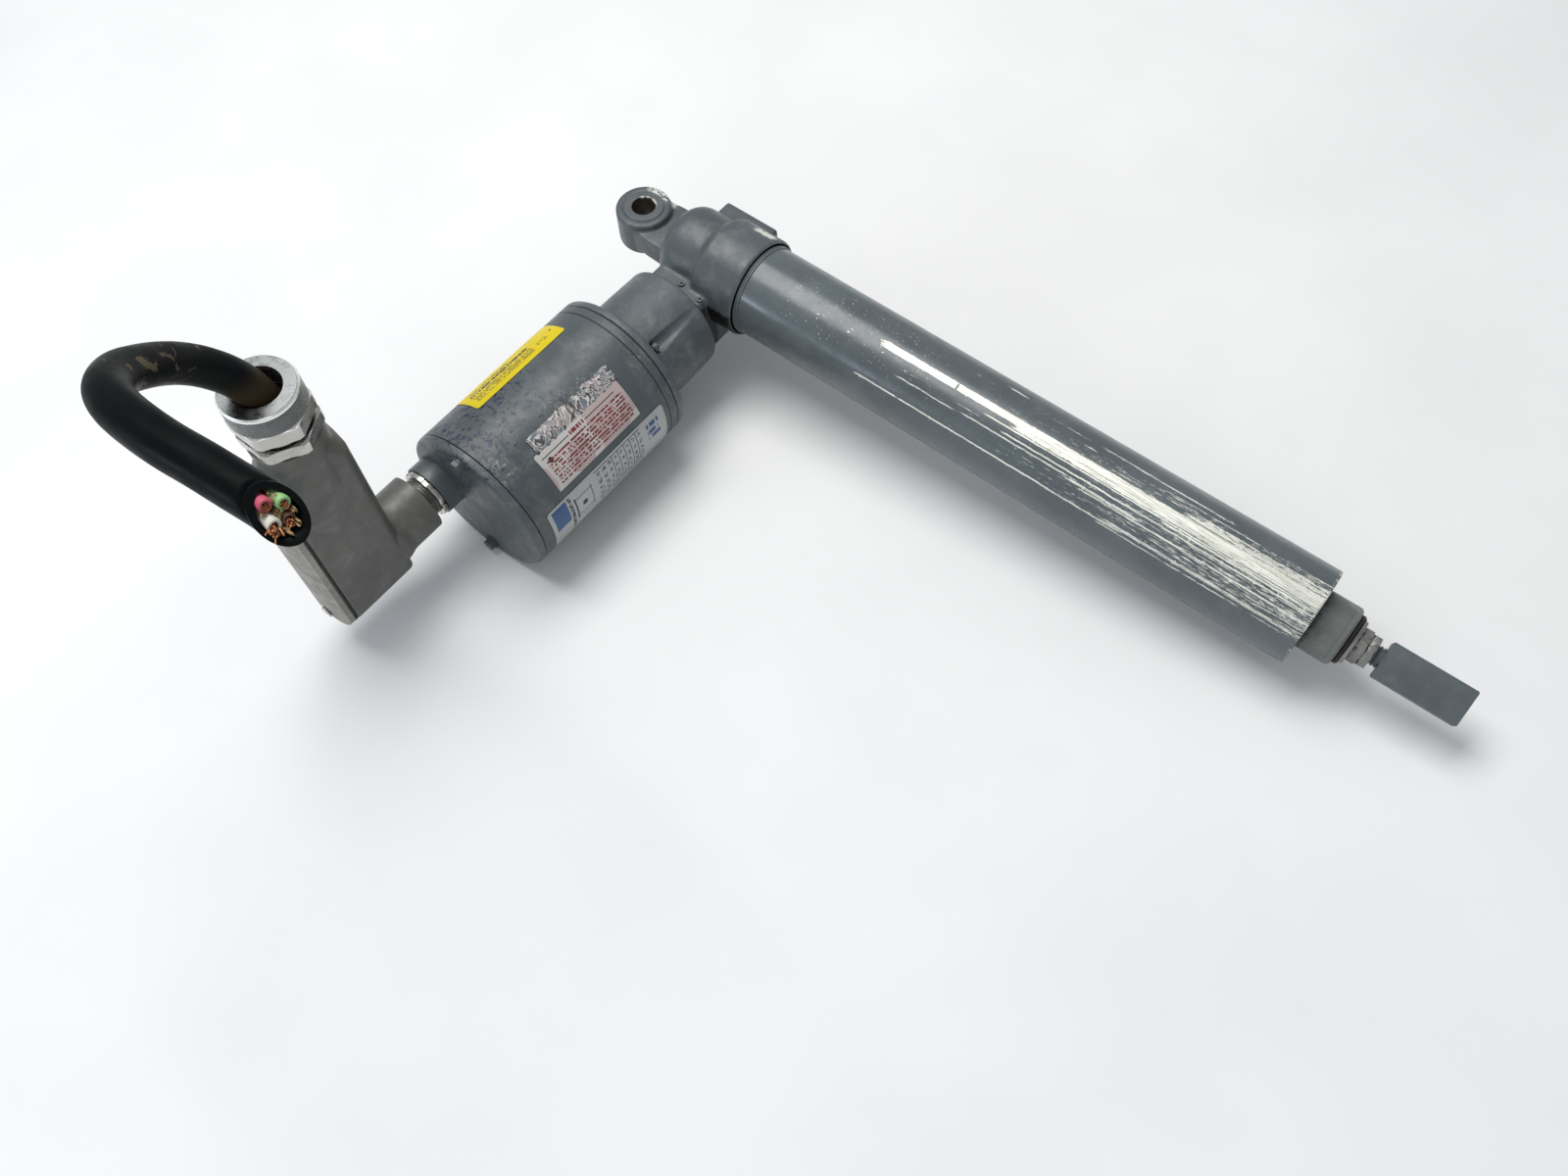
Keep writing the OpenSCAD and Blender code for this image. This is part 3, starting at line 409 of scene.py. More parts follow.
def block_wear_and_shade(g, p, colour, rough, normal):
    """Bright rubbed paint at the eye's rim and where the collar meets the worm block, and painted shade in
    the pocket between the nose, the block and the collar and in the collar's mouth."""
    x, y, z = g.in_mm(p)
    near = g.times(g.between(x, 84, 95, 4), g.between(y, 17, 21, 2.5))
    eye = g.times(g.between(x, -6, 12, 4), g.between(y, 13.5, 17.5, 1.5))
    spot = g.times(g.most(near, eye), g.ramp(g.noise(p, 240, 4, 0.7), 0.40, 0.52))
    colour = g.mix(spot, colour, BRIGHT_RUB)
    ragged = g.plus(z, g.times(g.noise(p, 300, 3), 8))
    # painted shade: the pocket beside the nose and the collar's mouth drawn near black
    pocket = g.times(g.between(x, BLOCK_END_X, BLOCK_END_X + 18, 1.5), g.between(y, -60, -27, 2),
                     g.between(ragged, -60, 5, 3))
    mouth = g.times(g.ramp(x, HOUSE_FRONT - 4.2, HOUSE_FRONT - 3.6),
                    g.ramp(g.radius_of(y, z), TUBE_R + 2.3, TUBE_R + 1.9))
    return g.mix(g.most(pocket, mouth), colour, POCKET_SHADE), rough, normal


def bore_wear(g, p, colour, rough, normal):
    """Brown grease inside the eye bushing's bore, and bare metal where a pin has rubbed its upper rim."""
    x, y, z = g.in_mm(p)
    radius = g.radius_of(g.minus(x, BUSH_MID.x), y)
    bore = g.ramp(radius, BORE_R + 0.2, BORE_R + 0.5, 1, 0)
    colour = g.mix(bore, colour, BORE_GREASE)
    rub = g.times(g.between(radius, BORE_R - 1, BORE_R + 0.9, 0.4),
                  g.ramp(z, bush_hi.z - 2.5, bush_hi.z - 0.5),
                  g.ramp(y, 4.0, 6.0), g.ramp(g.noise(p, 300, 3), 0.35, 0.55))
    return g.mix(rub, colour, BORE_RUB), rough, normal


def rod_shade_and_dirt(g, p, colour, rough, normal):
    """Painted shade on the rod where it leaves the tube, and a dirty ring round the rod's end."""
    x = g.in_mm(p)[0]
    # painted shade: the rod darkens towards the tube's mouth
    ragged = g.plus(x, g.times(g.noise(p, 260, 4, 0.7), -7.0))
    edge = g.ramp(ragged, TUBE_X1 - 3, TUBE_X1 + 0.5, 1, 0)
    ring = g.ramp(x, ROD_END_X - 1.6, ROD_END_X - 0.6)
    colour = g.mix(edge, colour, ROD_MOUTH_SHADE)
    return g.mix(g.times(ring, 0.7), colour, ROD_RING_DIRT), rough, normal


def rod_finish(g, p, colour, rough, normal):
    """Chromed rod; the short length that stood out was sprayed with the rest."""
    colour, rough, normal = rod_shade_and_dirt(g, p, colour, rough, normal)
    ragged = g.plus(g.in_mm(p)[0], g.noise(p, 300, 3))
    chrome = g.ramp(ragged, TUBE_X1 - 1.2, TUBE_X1 - 0.8, 1, 0)
    g.put(g.bsdf.inputs["Metallic"], chrome)
    rough = g.times(rough, g.minus(1.0, g.times(chrome, 0.75)))
    return g.mix(chrome, colour, CHROME), rough, normal


def cable_scuffs(g, p, colour, rough, normal):
    """Tan scuffs round the tight part of the bend, brownish rubber at the gland."""
    x, y, z = g.in_mm(p)
    bend = g.times(g.between(z, 186, 232, 10), g.between(x, 20, 58, 10))
    marks = g.ramp(g.noise(p, 95, 4, 0.65, 0.9), 0.585, 0.62)
    colour = g.mix(g.times(bend, marks, 0.7), colour, CABLE_TAN)
    haze = g.times(g.between(z, 175, 236, 20), g.ramp(g.noise(p, 30, 4, 0.6), 0.4, 0.75, 0, 0.5))
    colour = g.mix(haze, colour, CABLE_HAZE)
    brown = g.ramp(z, NUT_TOP + 2, NUT_TOP + 20, 0.75, 0)
    return g.mix(brown, colour, CABLE_BROWN), rough, normal


def knurl(name):
    """Machined aluminium: the gland nut's hexagon, and the crossed knurl of the round band above it,
    with painted highlights on the bevels and painted shade on the top face, in the knurl's grooves and
    in the crevices.
    """
    g = Graph(name, rough=0.3, metal=1.0)
    p = g.point()
    x, y, z = g.in_mm(p)
    turn = g.times(g.math("ARCTAN2", g.minus(x, NUT_MID.x), g.minus(y, NUT_MID.y)), 110.0)
    climb = g.times(z, 4.2)
    band = g.between(z, NUT_TOP - 13.2, NUT_TOP - 2.6, 0.5)
    # painted highlights: the bevels drawn near white
    bevel = g.most(g.between(z, NUT_TOP - 1.9, NUT_TOP - 0.3, 0.2),
                   g.between(z, NUT_TOP - 15.3, NUT_TOP - 14.2, 0.2))
    hexagon = g.ramp(z, NUT_TOP - 14.4, NUT_TOP - 14.0, 1, 0)
    ridge = g.times(g.most(g.math("SINE", g.plus(turn, climb)), g.math("SINE", g.minus(turn, climb))), band)
    base = g.mix(g.ramp(g.noise(p, 90, 4, 0.7), 0.3, 0.75), (0.27, 0.285, 0.285), (0.36, 0.375, 0.37))
    base = g.mix(hexagon, base, (0.50, 0.49, 0.46))
    base = g.mix(bevel, base, (0.92, 0.92, 0.90))
    # painted shade: the top face drawn darker
    base = g.mix(g.ramp(z, NUT_TOP - 0.25, NUT_TOP - 0.1), base, (0.21, 0.22, 0.22))
    # painted shade: the knurl's grooves drawn darker than its crests
    colour = g.mix(g.times(band, g.ramp(ridge, -0.6, 0.9, 0.9, 0.3)), base, (0.10, 0.10, 0.095))
    # painted shade: darker where ambient occlusion finds corners and gaps
    colour = g.mix(g.ramp(g.crevice(0.003), 0.3, 0.9, 0, 0.6), colour, (0.06, 0.055, 0.05))
    normal = g.bump(ridge, 0.8, 0.0004, g.bump(g.noise(p, 900, 2), 0.12, 0.0003))
    rough = g.ramp(g.noise(p, 150, 4, 0.7), 0.3, 0.75, 0.22, 0.44)
    return g.finish(colour, rough, normal)


def film_material():
    """Crinkled film that has come away from the shell: silvery, with painted highlights and painted shade
    along its creases.
    """
    g = Graph("clear_film", rough=0.2)
    p = g.point()
    folds = g.noise(p, 62, 2, 0.45, 2.2)
    colour = g.mix(g.ramp(g.noise(p, 70, 3), 0.42, 0.58), shade(PAINT, 1.6), (0.34, 0.31, 0.30))
    # painted highlights and painted shade along the folds' creases
    crease_highlights_and_shade = ((0.44, (0.50, 0.47, 0.46)), (0.50, (0.07, 0.055, 0.05)), (0.55, (0.55, 0.52, 0.51)))
    for level, tone in crease_highlights_and_shade:
        crease = g.ramp(g.math("ABSOLUTE", g.minus(folds, level)), 0.010, 0.026, 1, 0)
        colour = g.mix(crease, colour, tone)
    return g.finish(colour, g.ramp(folds, 0.3, 0.7, 0.1, 0.35), g.bump(folds, 1.0, 0.0012))


PAINTS = {
    "cast_paint": dict(base=shade(PAINT, 0.77), cast=0.30, extra=block_wear_and_shade),
    "bell_paint": dict(base=shade(PAINT, 0.90), dust=0.35, cast=0.28),
    "shell_paint": dict(base=shade(PAINT, 0.73), specks=0.5, cast=0.10, extra=motor_wear),
    "cap_paint": dict(base=shade(PAINT, 0.80), cast=0.14, extra=motor_wear),
    "tube_paint": dict(base=shade(PAINT, 1.06), specks=0.15, dust=0.12, cast=0.06, extra=tube_wear),
    "bush_paint": dict(base=shade(PAINT, 0.86), cast=0.08, extra=bore_wear),
    "ring_paint": dict(base=shade(PAINT, 0.9), cast=0.1),
    "bolt_paint": dict(base=shade(PAINT, 0.85), dust=0.8, cast=0.2),
    "tang_paint": dict(base=shade(PAINT, 0.92), specks=0.25, dust=0.15, cast=0.08),
    "rod_paint": dict(base=ROD_PAINT, specks=0.6, dust=0.5, cast=0.5, extra=rod_shade_and_dirt),
    "rod_skin": dict(base=ROD_SKIN_PAINT, specks=0.6, dust=0.5, cast=0.35, extra=rod_finish),
    "elbow_alloy": dict(base=(0.088, 0.090, 0.080), specks=0.3, dust=0.25, cast=0.2, grime=0.7),
}
METALS = {
    "cover_alloy": dict(base=(0.32, 0.31, 0.285), rough=0.5, cast=0.35, dirt=0.3),
    "turned_alloy": dict(base=(0.56, 0.55, 0.52), rough=0.24, cast=0.1, grain=(1, 1, 10 / 3)),
    "steel": dict(base=(0.50, 0.50, 0.48), rough=0.36, cast=0.2),
    "plated": dict(base=(0.66, 0.65, 0.60), rough=0.22, dirt=0.8),
    "dirty_steel": dict(base=(0.32, 0.32, 0.30), rough=0.45, cast=0.3, dirt=0.9),
    "lamination": dict(base=(0.20, 0.20, 0.21), rough=0.55, cast=0.5, grain=(1, 15, 1)),
    "copper": dict(base=(0.62, 0.26, 0.12), rough=0.38, cast=0.3, grain=(0.5, 0.5, 10 / 3), dirt=0.4),
    "bronze": dict(base=(0.55, 0.36, 0.14), rough=0.36, cast=0.2),
}
PLAINS = {
    "rubber": dict(base=(0.012, 0.012, 0.013), rough=0.62, cast=0.3, scale=700),
    "cable_rubber": dict(base=(0.0035, 0.0045, 0.005), rough=0.42, cast=0.10, scale=420,
                         extra=cable_scuffs, Specular_IOR_Level=0.04),
    "nylon": dict(base=(0.62, 0.60, 0.54), rough=0.5),
    "pink": dict(base=(0.50, 0.09, 0.15), rough=0.45, cast=0.15),
    "green": dict(base=(0.24, 0.44, 0.18), rough=0.45, cast=0.15),
    "brown_wire": dict(base=(0.10, 0.055, 0.03), rough=0.55, cast=0.3),
    "white_wire": dict(base=(0.70, 0.68, 0.60), rough=0.5, cast=0.3),
    "filler": dict(base=(0.30, 0.19, 0.09), rough=0.9, cast=0.8, scale=900, vary=0.5),
    "yellow": dict(base=(0.60, 0.47, 0.008), rough=0.42, cast=0.06, scale=200, vary=0.08,
                   Specular_IOR_Level=0.2),
    "film_white": dict(base=(0.52, 0.50, 0.48), rough=0.32, cast=0.10, scale=160, vary=0.12),
    "film_pink": dict(base=(0.42, 0.34, 0.33), rough=0.34, cast=0.10, scale=160, vary=0.15),
    "plate_white": dict(base=(0.36, 0.375, 0.37), rough=0.30, cast=0.05, scale=160, vary=0.08),
    "ink_red": dict(base=(0.17, 0.022, 0.022), rough=0.5, cast=0.05),
    "ink_black": dict(base=(0.018, 0.018, 0.02), rough=0.5, cast=0.05),
    "ink_blue": dict(base=(0.008, 0.055, 0.16), rough=0.35, cast=0.05, scale=300),
}
M = {"knurled_alloy": knurl("knurled_alloy"), "clear_film": film_material()}
for make, looks in ((paint, PAINTS), (metal, METALS), (plain, PLAINS)):
    for name, values in looks.items():
        M[name] = make(name, **values)


# ---- CAD nodes that stay: soft edges, true normals, and a finish ----

WELD = 0.00001  # points closer than this, in metres, are one point


def soften(node, width, angle):
    piece = nodes[node]
    piece.modifiers.new("weld", "WELD").merge_threshold = WELD
    if width:
        bevel = piece.modifiers.new("bevel", "BEVEL")
        bevel.width, bevel.segments = width * MM, 2
        bevel.limit_method, bevel.angle_limit = "ANGLE", math.radians(angle)
        bevel.use_clamp_overlap = True
    piece.modifiers.new("normals", "WEIGHTED_NORMAL").keep_sharp = False


def dress(material, *names, width=0.25, angle=32):
    for name in names:
        piece = nodes[name]
        piece.data.materials.clear()
        piece.data.materials.append(M[material])
        for polygon in piece.data.polygons:
            polygon.use_smooth = True
        soften(name, width, angle)


dress("shell_paint", "motor_shell", width=0.2)
dress("cap_paint", "motor_end_cap", width=0.5)
dress("tube_paint", "guide_tube", width=0.25)
dress("ring_paint", "tube_ring", "worm_plug", width=0.12)
dress("bolt_paint", "tie_bolts", "bell_screws", "block_set_screws", width=0.3)
dress("tang_paint", "tang_end", width=0.3)
dress("rod_paint", "rod_plug", width=0.3)
dress("bush_paint", "eye_bushing", width=0.3)
dress("cover_alloy", "elbow_cover", width=0.9, angle=25)
dress("turned_alloy", "gland_body", width=0.5)
dress("knurled_alloy", "gland_nut", width=0.5)
dress("steel", "elbow_cover_screws", "lead_screw", "wheel_key", "screw_stop", "rotor_shaft",
      "shaft_coupling", "worm_shaft", "worm", "screw_rear_bearing", "screw_thrust_bearing",
      "bearing_retainer", "motor_bearing_front", "motor_bearing_rear", "worm_bearing_near",
      "worm_bearing_far", width=0)
dress("plated", "conduit_lock_ring", width=0.3)
dress("dirty_steel", "conduit_nipple", "rod_washer", "jam_nuts", width=0)
dress("lamination", "stator_core", "rotor_core", width=0)
dress("rod_skin", "rod_tube", width=0.2)
dress("copper", "stator_windings", width=0)
dress("bronze", "worm_wheel", "drive_nut", "front_guide", width=0)
dress("turned_alloy", "rotor_end_rings", width=0)
dress("rubber", "tube_seal", "rod_wiper", "elbow_gasket", "gland_seal", "rod_seal", width=0)
dress("nylon", "nut_guide", width=0)


# ---- new pieces ----

def finish_piece(name, mesh, body, replaced=(), materials=()):
    piece = bpy.data.objects.new(name, mesh)
    bpy.context.scene.collection.objects.link(piece)
    for material in materials:
        mesh.materials.append(M[material])
    for polygon in mesh.polygons:
        polygon.use_smooth = True
    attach(piece, body)
    if replaced:
        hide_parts(*replaced)
    return piece


def mesh_of(name, bm):
    mesh = bpy.data.meshes.new(name)
    bm.to_mesh(mesh)
    bm.free()
    return mesh


def close_tube(bm, rings):
    """Faces from each ring of points to the next, and one over each end."""
    for one, two in zip(rings, rings[1:]):
        for k in range(len(one)):
            n = (k + 1) % len(one)
            bm.faces.new((one[k], one[n], two[n], two[k]))
    bm.faces.new(rings[0][::-1])
    bm.faces.new(rings[-1])


def grid_face(bm, grid, i, j):
    return bm.faces.new((grid[j][i], grid[j + 1][i], grid[j + 1][i + 1], grid[j][i + 1]))


def round_angles(sides):
    return [2 * math.pi * k / sides for k in range(sides)]


ROD_SIDES = 96
AXES = {"X": (Vector((1, 0, 0)), Vector((0, 1, 0)), Vector((0, 0, 1))),
        "Y": (Vector((0, 1, 0)), Vector((0, 0, 1)), Vector((1, 0, 0))),
        "Z": (Vector((0, 0, 1)), Vector((1, 0, 0)), Vector((0, 1, 0)))}


def rod_solid(radius, centre, axis, t0, t1):
    """A closed cylinder along an axis, from t0 to t1 mm past its centre."""
    along, e1, e2 = AXES[axis]
    spokes = [radius * (math.cos(a) * e1 + math.sin(a) * e2) for a in round_angles(ROD_SIDES)]
    bm = bmesh.new()
    first = bm.verts.new((centre + along * t0) * MM)
    low, high = ([bm.verts.new((centre + along * t + spoke) * MM) for spoke in spokes] for t in (t0, t1))
    last = bm.verts.new((centre + along * t1) * MM)
    steps = [(k, (k + 1) % ROD_SIDES) for k in range(ROD_SIDES)]
    for k, n in steps:
        bm.faces.new((first, low[n], low[k]))
    for k, n in steps:
        bm.faces.new((low[k], low[n], high[n], high[k]))
    for k, n in steps:
        bm.faces.new((high[k], high[n], last))
    bmesh.ops.recalc_face_normals(bm, faces=bm.faces)
    return bm


def box_solid(low, high):
    bm = bmesh.new()
    size = (high - low) * MM
    matrix = Matrix.Translation((low + high) / 2 * MM) @ Matrix.Diagonal((*size, 1))
    bmesh.ops.create_cube(bm, size=1, matrix=matrix)
    return bm


def loose_object(name, bm):
    thing = bpy.data.objects.new(name, mesh_of(name, bm))
    bpy.context.scene.collection.objects.link(thing)
    return thing


def baked_mesh(thing):
    graph = bpy.context.evaluated_depsgraph_get()
    graph.update()
    return bpy.data.meshes.new_from_object(thing.evaluated_get(graph), depsgraph=graph)


def cut_flat(mesh, planes):
    """Cuts off what lies past each plane, given by a point and a normal, and closes the cut."""
    bm = bmesh.new()
    bm.from_mesh(mesh)
    for point, normal in planes:
        cut = bmesh.ops.bisect_plane(bm, geom=bm.verts[:] + bm.edges[:] + bm.faces[:], dist=1e-7,
                                     plane_co=point * MM, plane_no=normal, clear_outer=True)
        edges = [e for e in cut["geom_cut"] if isinstance(e, bmesh.types.BMEdge)]
        bmesh.ops.edgeloop_fill(bm, edges=edges)
    bm.to_mesh(mesh)
    bm.free()


def cast_piece(name, node, material, rounds, fillers=(), cutters=(), planes=()):
    """A cast part: the CAD solid, filled where it will be machined, remeshed and smoothed so that
    its corners blend, then cut again with crisp bores and faces."""
    bm = bmesh.new()
    bm.from_mesh(nodes[node].data)
    bmesh.ops.remove_doubles(bm, verts=bm.verts, dist=WELD)
    for filler in fillers:
        part = mesh_of("filler", filler)
        bm.from_mesh(part)
        bpy.data.meshes.remove(part)
    work = loose_object(name + "_work", bm)
    remesh = work.modifiers.new("remesh", "REMESH")
    remesh.mode, remesh.voxel_size = "VOXEL", CAST_VOXEL
    smooth = work.modifiers.new("smooth", "SMOOTH")
    smooth.factor, smooth.iterations = 0.5, rounds
    tools = []
    for k, cutter in enumerate(cutters):
        tool = loose_object(f"{name}_tool_{k}", cutter)
        cut = work.modifiers.new("cut", "BOOLEAN")
        cut.operation, cut.solver, cut.object = "DIFFERENCE", "MANIFOLD", tool
        tools.append(tool)
    mesh = baked_mesh(work)
    for thing in [work] + tools:
        bpy.data.objects.remove(thing)
    if planes:
        cut_flat(mesh, planes)
    mesh.materials.clear()
    piece = finish_piece(name, mesh, "housing", (node,), (material,))
    piece.modifiers.new("normals", "WEIGHTED_NORMAL").keep_sharp = True
    mark_sharp(mesh, 40)


def mark_sharp(mesh, degrees):
    """Marks the edges whose faces meet at more than so many degrees."""
    faces_of = {}
    for polygon in mesh.polygons:
        for key in polygon.edge_keys:
            faces_of.setdefault(key, []).append(polygon.normal)
    limit = math.cos(math.radians(degrees))
    for edge in mesh.edges:
        normals = faces_of.get(edge.key, ())
        if len(normals) == 2 and normals[0].dot(normals[1]) < limit:
            edge.use_edge_sharp = True


CAST_VOXEL = 0.85 * MM
ORIGIN = Vector((0, 0, 0))
MOTOR_AXIS = Vector((MOTOR_X, 0, MOTOR_Z))


def make_gear_housing():
    plug_y = box_mm("worm_plug")[0].y
    fillers = [rod_solid(14.5, ORIGIN, "Z", bush_lo.z + 1.2, bush_hi.z - 1.2),
               rod_solid(32.0, ORIGIN, "X", HOUSE_FRONT - 12, HOUSE_FRONT + 2.5),
               rod_solid(15.0, MOTOR_AXIS, "Y", plug_y - 4, HOUSE_SIDE - 0.5)]
    cutters = [rod_solid(13.65, ORIGIN, "Z", -30, 30),
               rod_solid(TUBE_R, ORIGIN, "X", TUBE_X0, HOUSE_FRONT + 9),
               rod_solid(TUBE_R + 1.9, ORIGIN, "X", HOUSE_FRONT - 3.6, HOUSE_FRONT + 9),
               rod_solid(13, MOTOR_AXIS, "Y", plug_y, HOUSE_SIDE + 9)]
    planes = [(Vector((HOUSE_FRONT, 0, 0)), Vector((1, 0, 0)))]
    cast_piece("gear_housing_cast", "gear_housing", "cast_paint", 9, fillers, cutters, planes)


def make_elbow():
    face_y, hub_y, top_z = elbow_lo.y, elbow_hi.y, elbow_hi.z
    outlet = Vector((NIPPLE.x, NUT_MID.y, 0))
    hub = Vector((NIPPLE.x, 0, NIPPLE.z))
    gasket_lo, gasket_hi = box_mm("elbow_gasket")
    inner = Vector((3, 0, 3))
    fillers = [box_solid(Vector((gasket_lo.x, face_y - 4, gasket_lo.z)) + inner,
                         Vector((gasket_hi.x, face_y + 12, gasket_hi.z)) - inner),
               rod_solid(20.3, outlet, "Z", top_z - 12, top_z + 4),
               rod_solid(19.6, hub, "Y", hub_y - 12, hub_y + 4)]
    planes = [(Vector((0, hub_y, 0)), Vector((0, 1, 0))), (Vector((0, 0, top_z)), Vector((0, 0, 1)))]
    cast_piece("elbow_cast", "conduit_elbow", "elbow_alloy", 12, fillers, (), planes)


make_gear_housing()
make_elbow()
cast_piece("drive_end_bell_cast", "drive_end_bell", "bell_paint", 5)


# ---- supply cable ----

# the same route as the CAD solid's
CABLE_ROUTE = [Vector(p) * MM for p in (
    (28.5, -295.6, 122), (28.5, -295.6, 133), (27.5, -297.5, 146), (25.5, -302, 159.5), (24, -309.5, 173),
    (24.5, -318, 185), (28, -327, 196.5), (33.5, -336, 207.5), (40.5, -344.5, 218), (50.2, -352, 227.2),
    (62.7, -357.7, 235.2), (78, -360.9, 241.1), (94.9, -361.8, 244.6), (111.7, -361.3, 246.4),
    (129.3, -359.5, 247.3), (146.8, -357.9, 247.6), (164.1, -356.3, 248), (170.8, -356.6, 249.5))]
CABLE_R, JACKET_INNER = 9.75 * MM, 7.45 * MM
WIRE_R, CORE_R, STRAND_R = 2.85 * MM, 1.6 * MM, 0.27 * MM
JACKET_SIDES, WIRE_SIDES, STRAND_SIDES = 40, 24, 7
# the cut across the cable's end leans this much, and this way
CUT_SLOPE = 0.93
CUT_TOWARD = Vector((-0.09, 0.07, 0.93)).normalized()


def smooth_route(route, steps):
    """Points of a smooth curve through the route's points."""
    last = len(route) - 1
    points = []
    for i in range(last):
        p0, p1, p2, p3 = route[max(i - 1, 0)], route[i], route[i + 1], route[min(i + 2, last)]
        for j in range(steps):
            t = j / steps
            points.append(0.5 * (2 * p1 + (p2 - p0) * t + (2 * p0 - 5 * p1 + 4 * p2 - p3) * t ** 2
                                 + (3 * p1 - p0 - 3 * p2 + p3) * t ** 3))
    return points + [route[last]]


def directions(path):
    last = len(path) - 1
    return [(path[min(i + 1, last)] - path[max(i - 1, 0)]).normalized() for i in range(last + 1)]


def across(along, hint=(0, 1, 0)):
    """Two directions square to a path's direction and to each other."""
    side = along.cross(Vector(hint)).normalized()
    return side, side.cross(along)


CABLE_PATH = smooth_route(CABLE_ROUTE, 8)
END, END_DIR = CABLE_PATH[-1], directions(CABLE_PATH)[-1]
END_SIDE, END_UP = across(END_DIR)


def cut_slide(offset):
    """How far a point of the end slides along the cable to lie on the slanted cut."""
    return -CUT_SLOPE * offset.dot(CUT_TOWARD)


def jacket_mesh(name):
    """The cable's rubber: a swept tube whose far end lies on the slanted cut, as a ring of rubber
    round a ragged hole that goes back in."""
    bm = bmesh.new()
    dirs = directions(CABLE_PATH)
    rings = []
    for centre, along in zip(CABLE_PATH, dirs):
        side, up = across(along)
        slanted = max(0.0, 1.0 - (END - centre).length / (3.2 * CABLE_R))
        ring = []
        for a in round_angles(JACKET_SIDES):
            offset = CABLE_R * (math.cos(a) * side + math.sin(a) * up)
            ring.append(bm.verts.new(centre + offset + cut_slide(offset) * slanted * along))
        rings.append(ring)
    for depth in (0.0, 0.0006, 0.02):
        ring = []
        for a in round_angles(JACKET_SIDES):
            ragged = 1 + 0.03 * math.sin(3 * a + 1) + 0.02 * math.sin(7 * a)
            offset = JACKET_INNER * ragged * (math.cos(a) * END_SIDE + math.sin(a) * END_UP)
            ring.append(bm.verts.new(END + offset + (cut_slide(offset) - depth) * END_DIR))
        rings.append(ring)
    close_tube(bm, rings)
    bmesh.ops.recalc_face_normals(bm, faces=bm.faces)
    return mesh_of(name, bm)


def end_point(x, y, along):
    """A point near the cable's end: across it in mm, and along it in mm from the slanted cut."""
    offset = (x * END_SIDE + y * END_UP) * MM
    return END + offset + (cut_slide(offset) + along * MM) * END_DIR


def make_cable():
    jacket = finish_piece("cable_jacket", jacket_mesh("cable_jacket"), "housing",
                          ("supply_cable",), ("cable_rubber",))
    mark_sharp(jacket.data, 50)
    rng = random.Random(7)
    with_it = []
    # four insulated wires: place across the cable, colour, how far they stand out, strand spread
    wires = ((3.95, -1.45, "pink", 0.4, 0.0), (1.45, 3.95, "green", 0.8, 0.1),
             (-3.95, 1.45, "brown_wire", -2.0, 0.5), (-1.45, -3.95, "white_wire", 0.6, 1.5))
    for number, (x, y, colour, out, spread) in enumerate(wires):
        path = [end_point(x, y, t) for t in (-18, -12, -8, -5, -3.5, out - 0.5, out)]
        first = number == 0
        wire = finish_piece(f"wire_{number}", wire_mesh(f"wire_{number}", path), "housing",
                            ("cable_wires",) if first else (), (colour,))
        strands = strand_mesh(f"strands_{number}", x, y, out, spread, rng)
        core = finish_piece(f"strands_{number}", strands, "housing",
                            ("cable_strands",) if first else (), ("copper",))
        with_it += [wire, core]
    with_it.append(filler_piece(rng))


def wire_mesh(name, path):
    """One wire's insulation, a little uneven, with a hole for its core at the cut end."""
    bm = bmesh.new()
    dirs = directions(path)
    rings = []
    last = len(path) - 1
    stops = [(i, WIRE_R, 0.0) for i in range(last)]
    stops += [(last, WIRE_R * 0.96, 0.0), (last, CORE_R * 1.25, 0.2 * MM), (last, CORE_R, 0.0),
              (last, CORE_R, -4 * MM)]
    for i, radius, push in stops:
        side, up = across(dirs[i])
        centre = path[i] + push * dirs[i]
        rings.append([bm.verts.new(centre + radius * (1 + 0.04 * math.sin(2 * a + i))
                                   * (math.cos(a) * side + math.sin(a) * up))
                      for a in round_angles(WIRE_SIDES)])
    close_tube(bm, rings)
    bmesh.ops.recalc_face_normals(bm, faces=bm.faces)
    return mesh_of(name, bm)


def add_strand(bm, path):
    rings = []
    for centre, along in zip(path, directions(path)):
        side, up = across(along, (0.1, 1, 0.3))
        rings.append([bm.verts.new(centre + STRAND_R * (math.cos(a) * side + math.sin(a) * up))
                      for a in round_angles(STRAND_SIDES)])
    close_tube(bm, rings)


def strand_mesh(name, x, y, out, spread, rng):
    """Fine copper strands in one wire's core, some of them bent out: one, six round it, then twelve."""
    bm = bmesh.new()
    for k in range(19):
        ring = 0 if k == 0 else (0.62 if k < 7 else 1.22)
        a = 2 * math.pi * k / (6 if k < 7 else 12) + 0.3
        sx, sy = x + ring * math.cos(a), y + ring * math.sin(a)
        tip = out + 0.3 + rng.uniform(0, 0.9 + 1.4 * spread)
        lean_x = rng.uniform(-1.2, 0.8) * spread
        lean_y = rng.uniform(-2.6, -0.2) * spread
        add_strand(bm, [end_point(sx + lean_x * t * t, sy + lean_y * t * t, -3 + (tip + 3) * t)
                        for t in (0, 0.35, 0.6, 0.8, 0.92, 1.0)])
    bmesh.ops.recalc_face_normals(bm, faces=bm.faces)
    return mesh_of(name, bm)


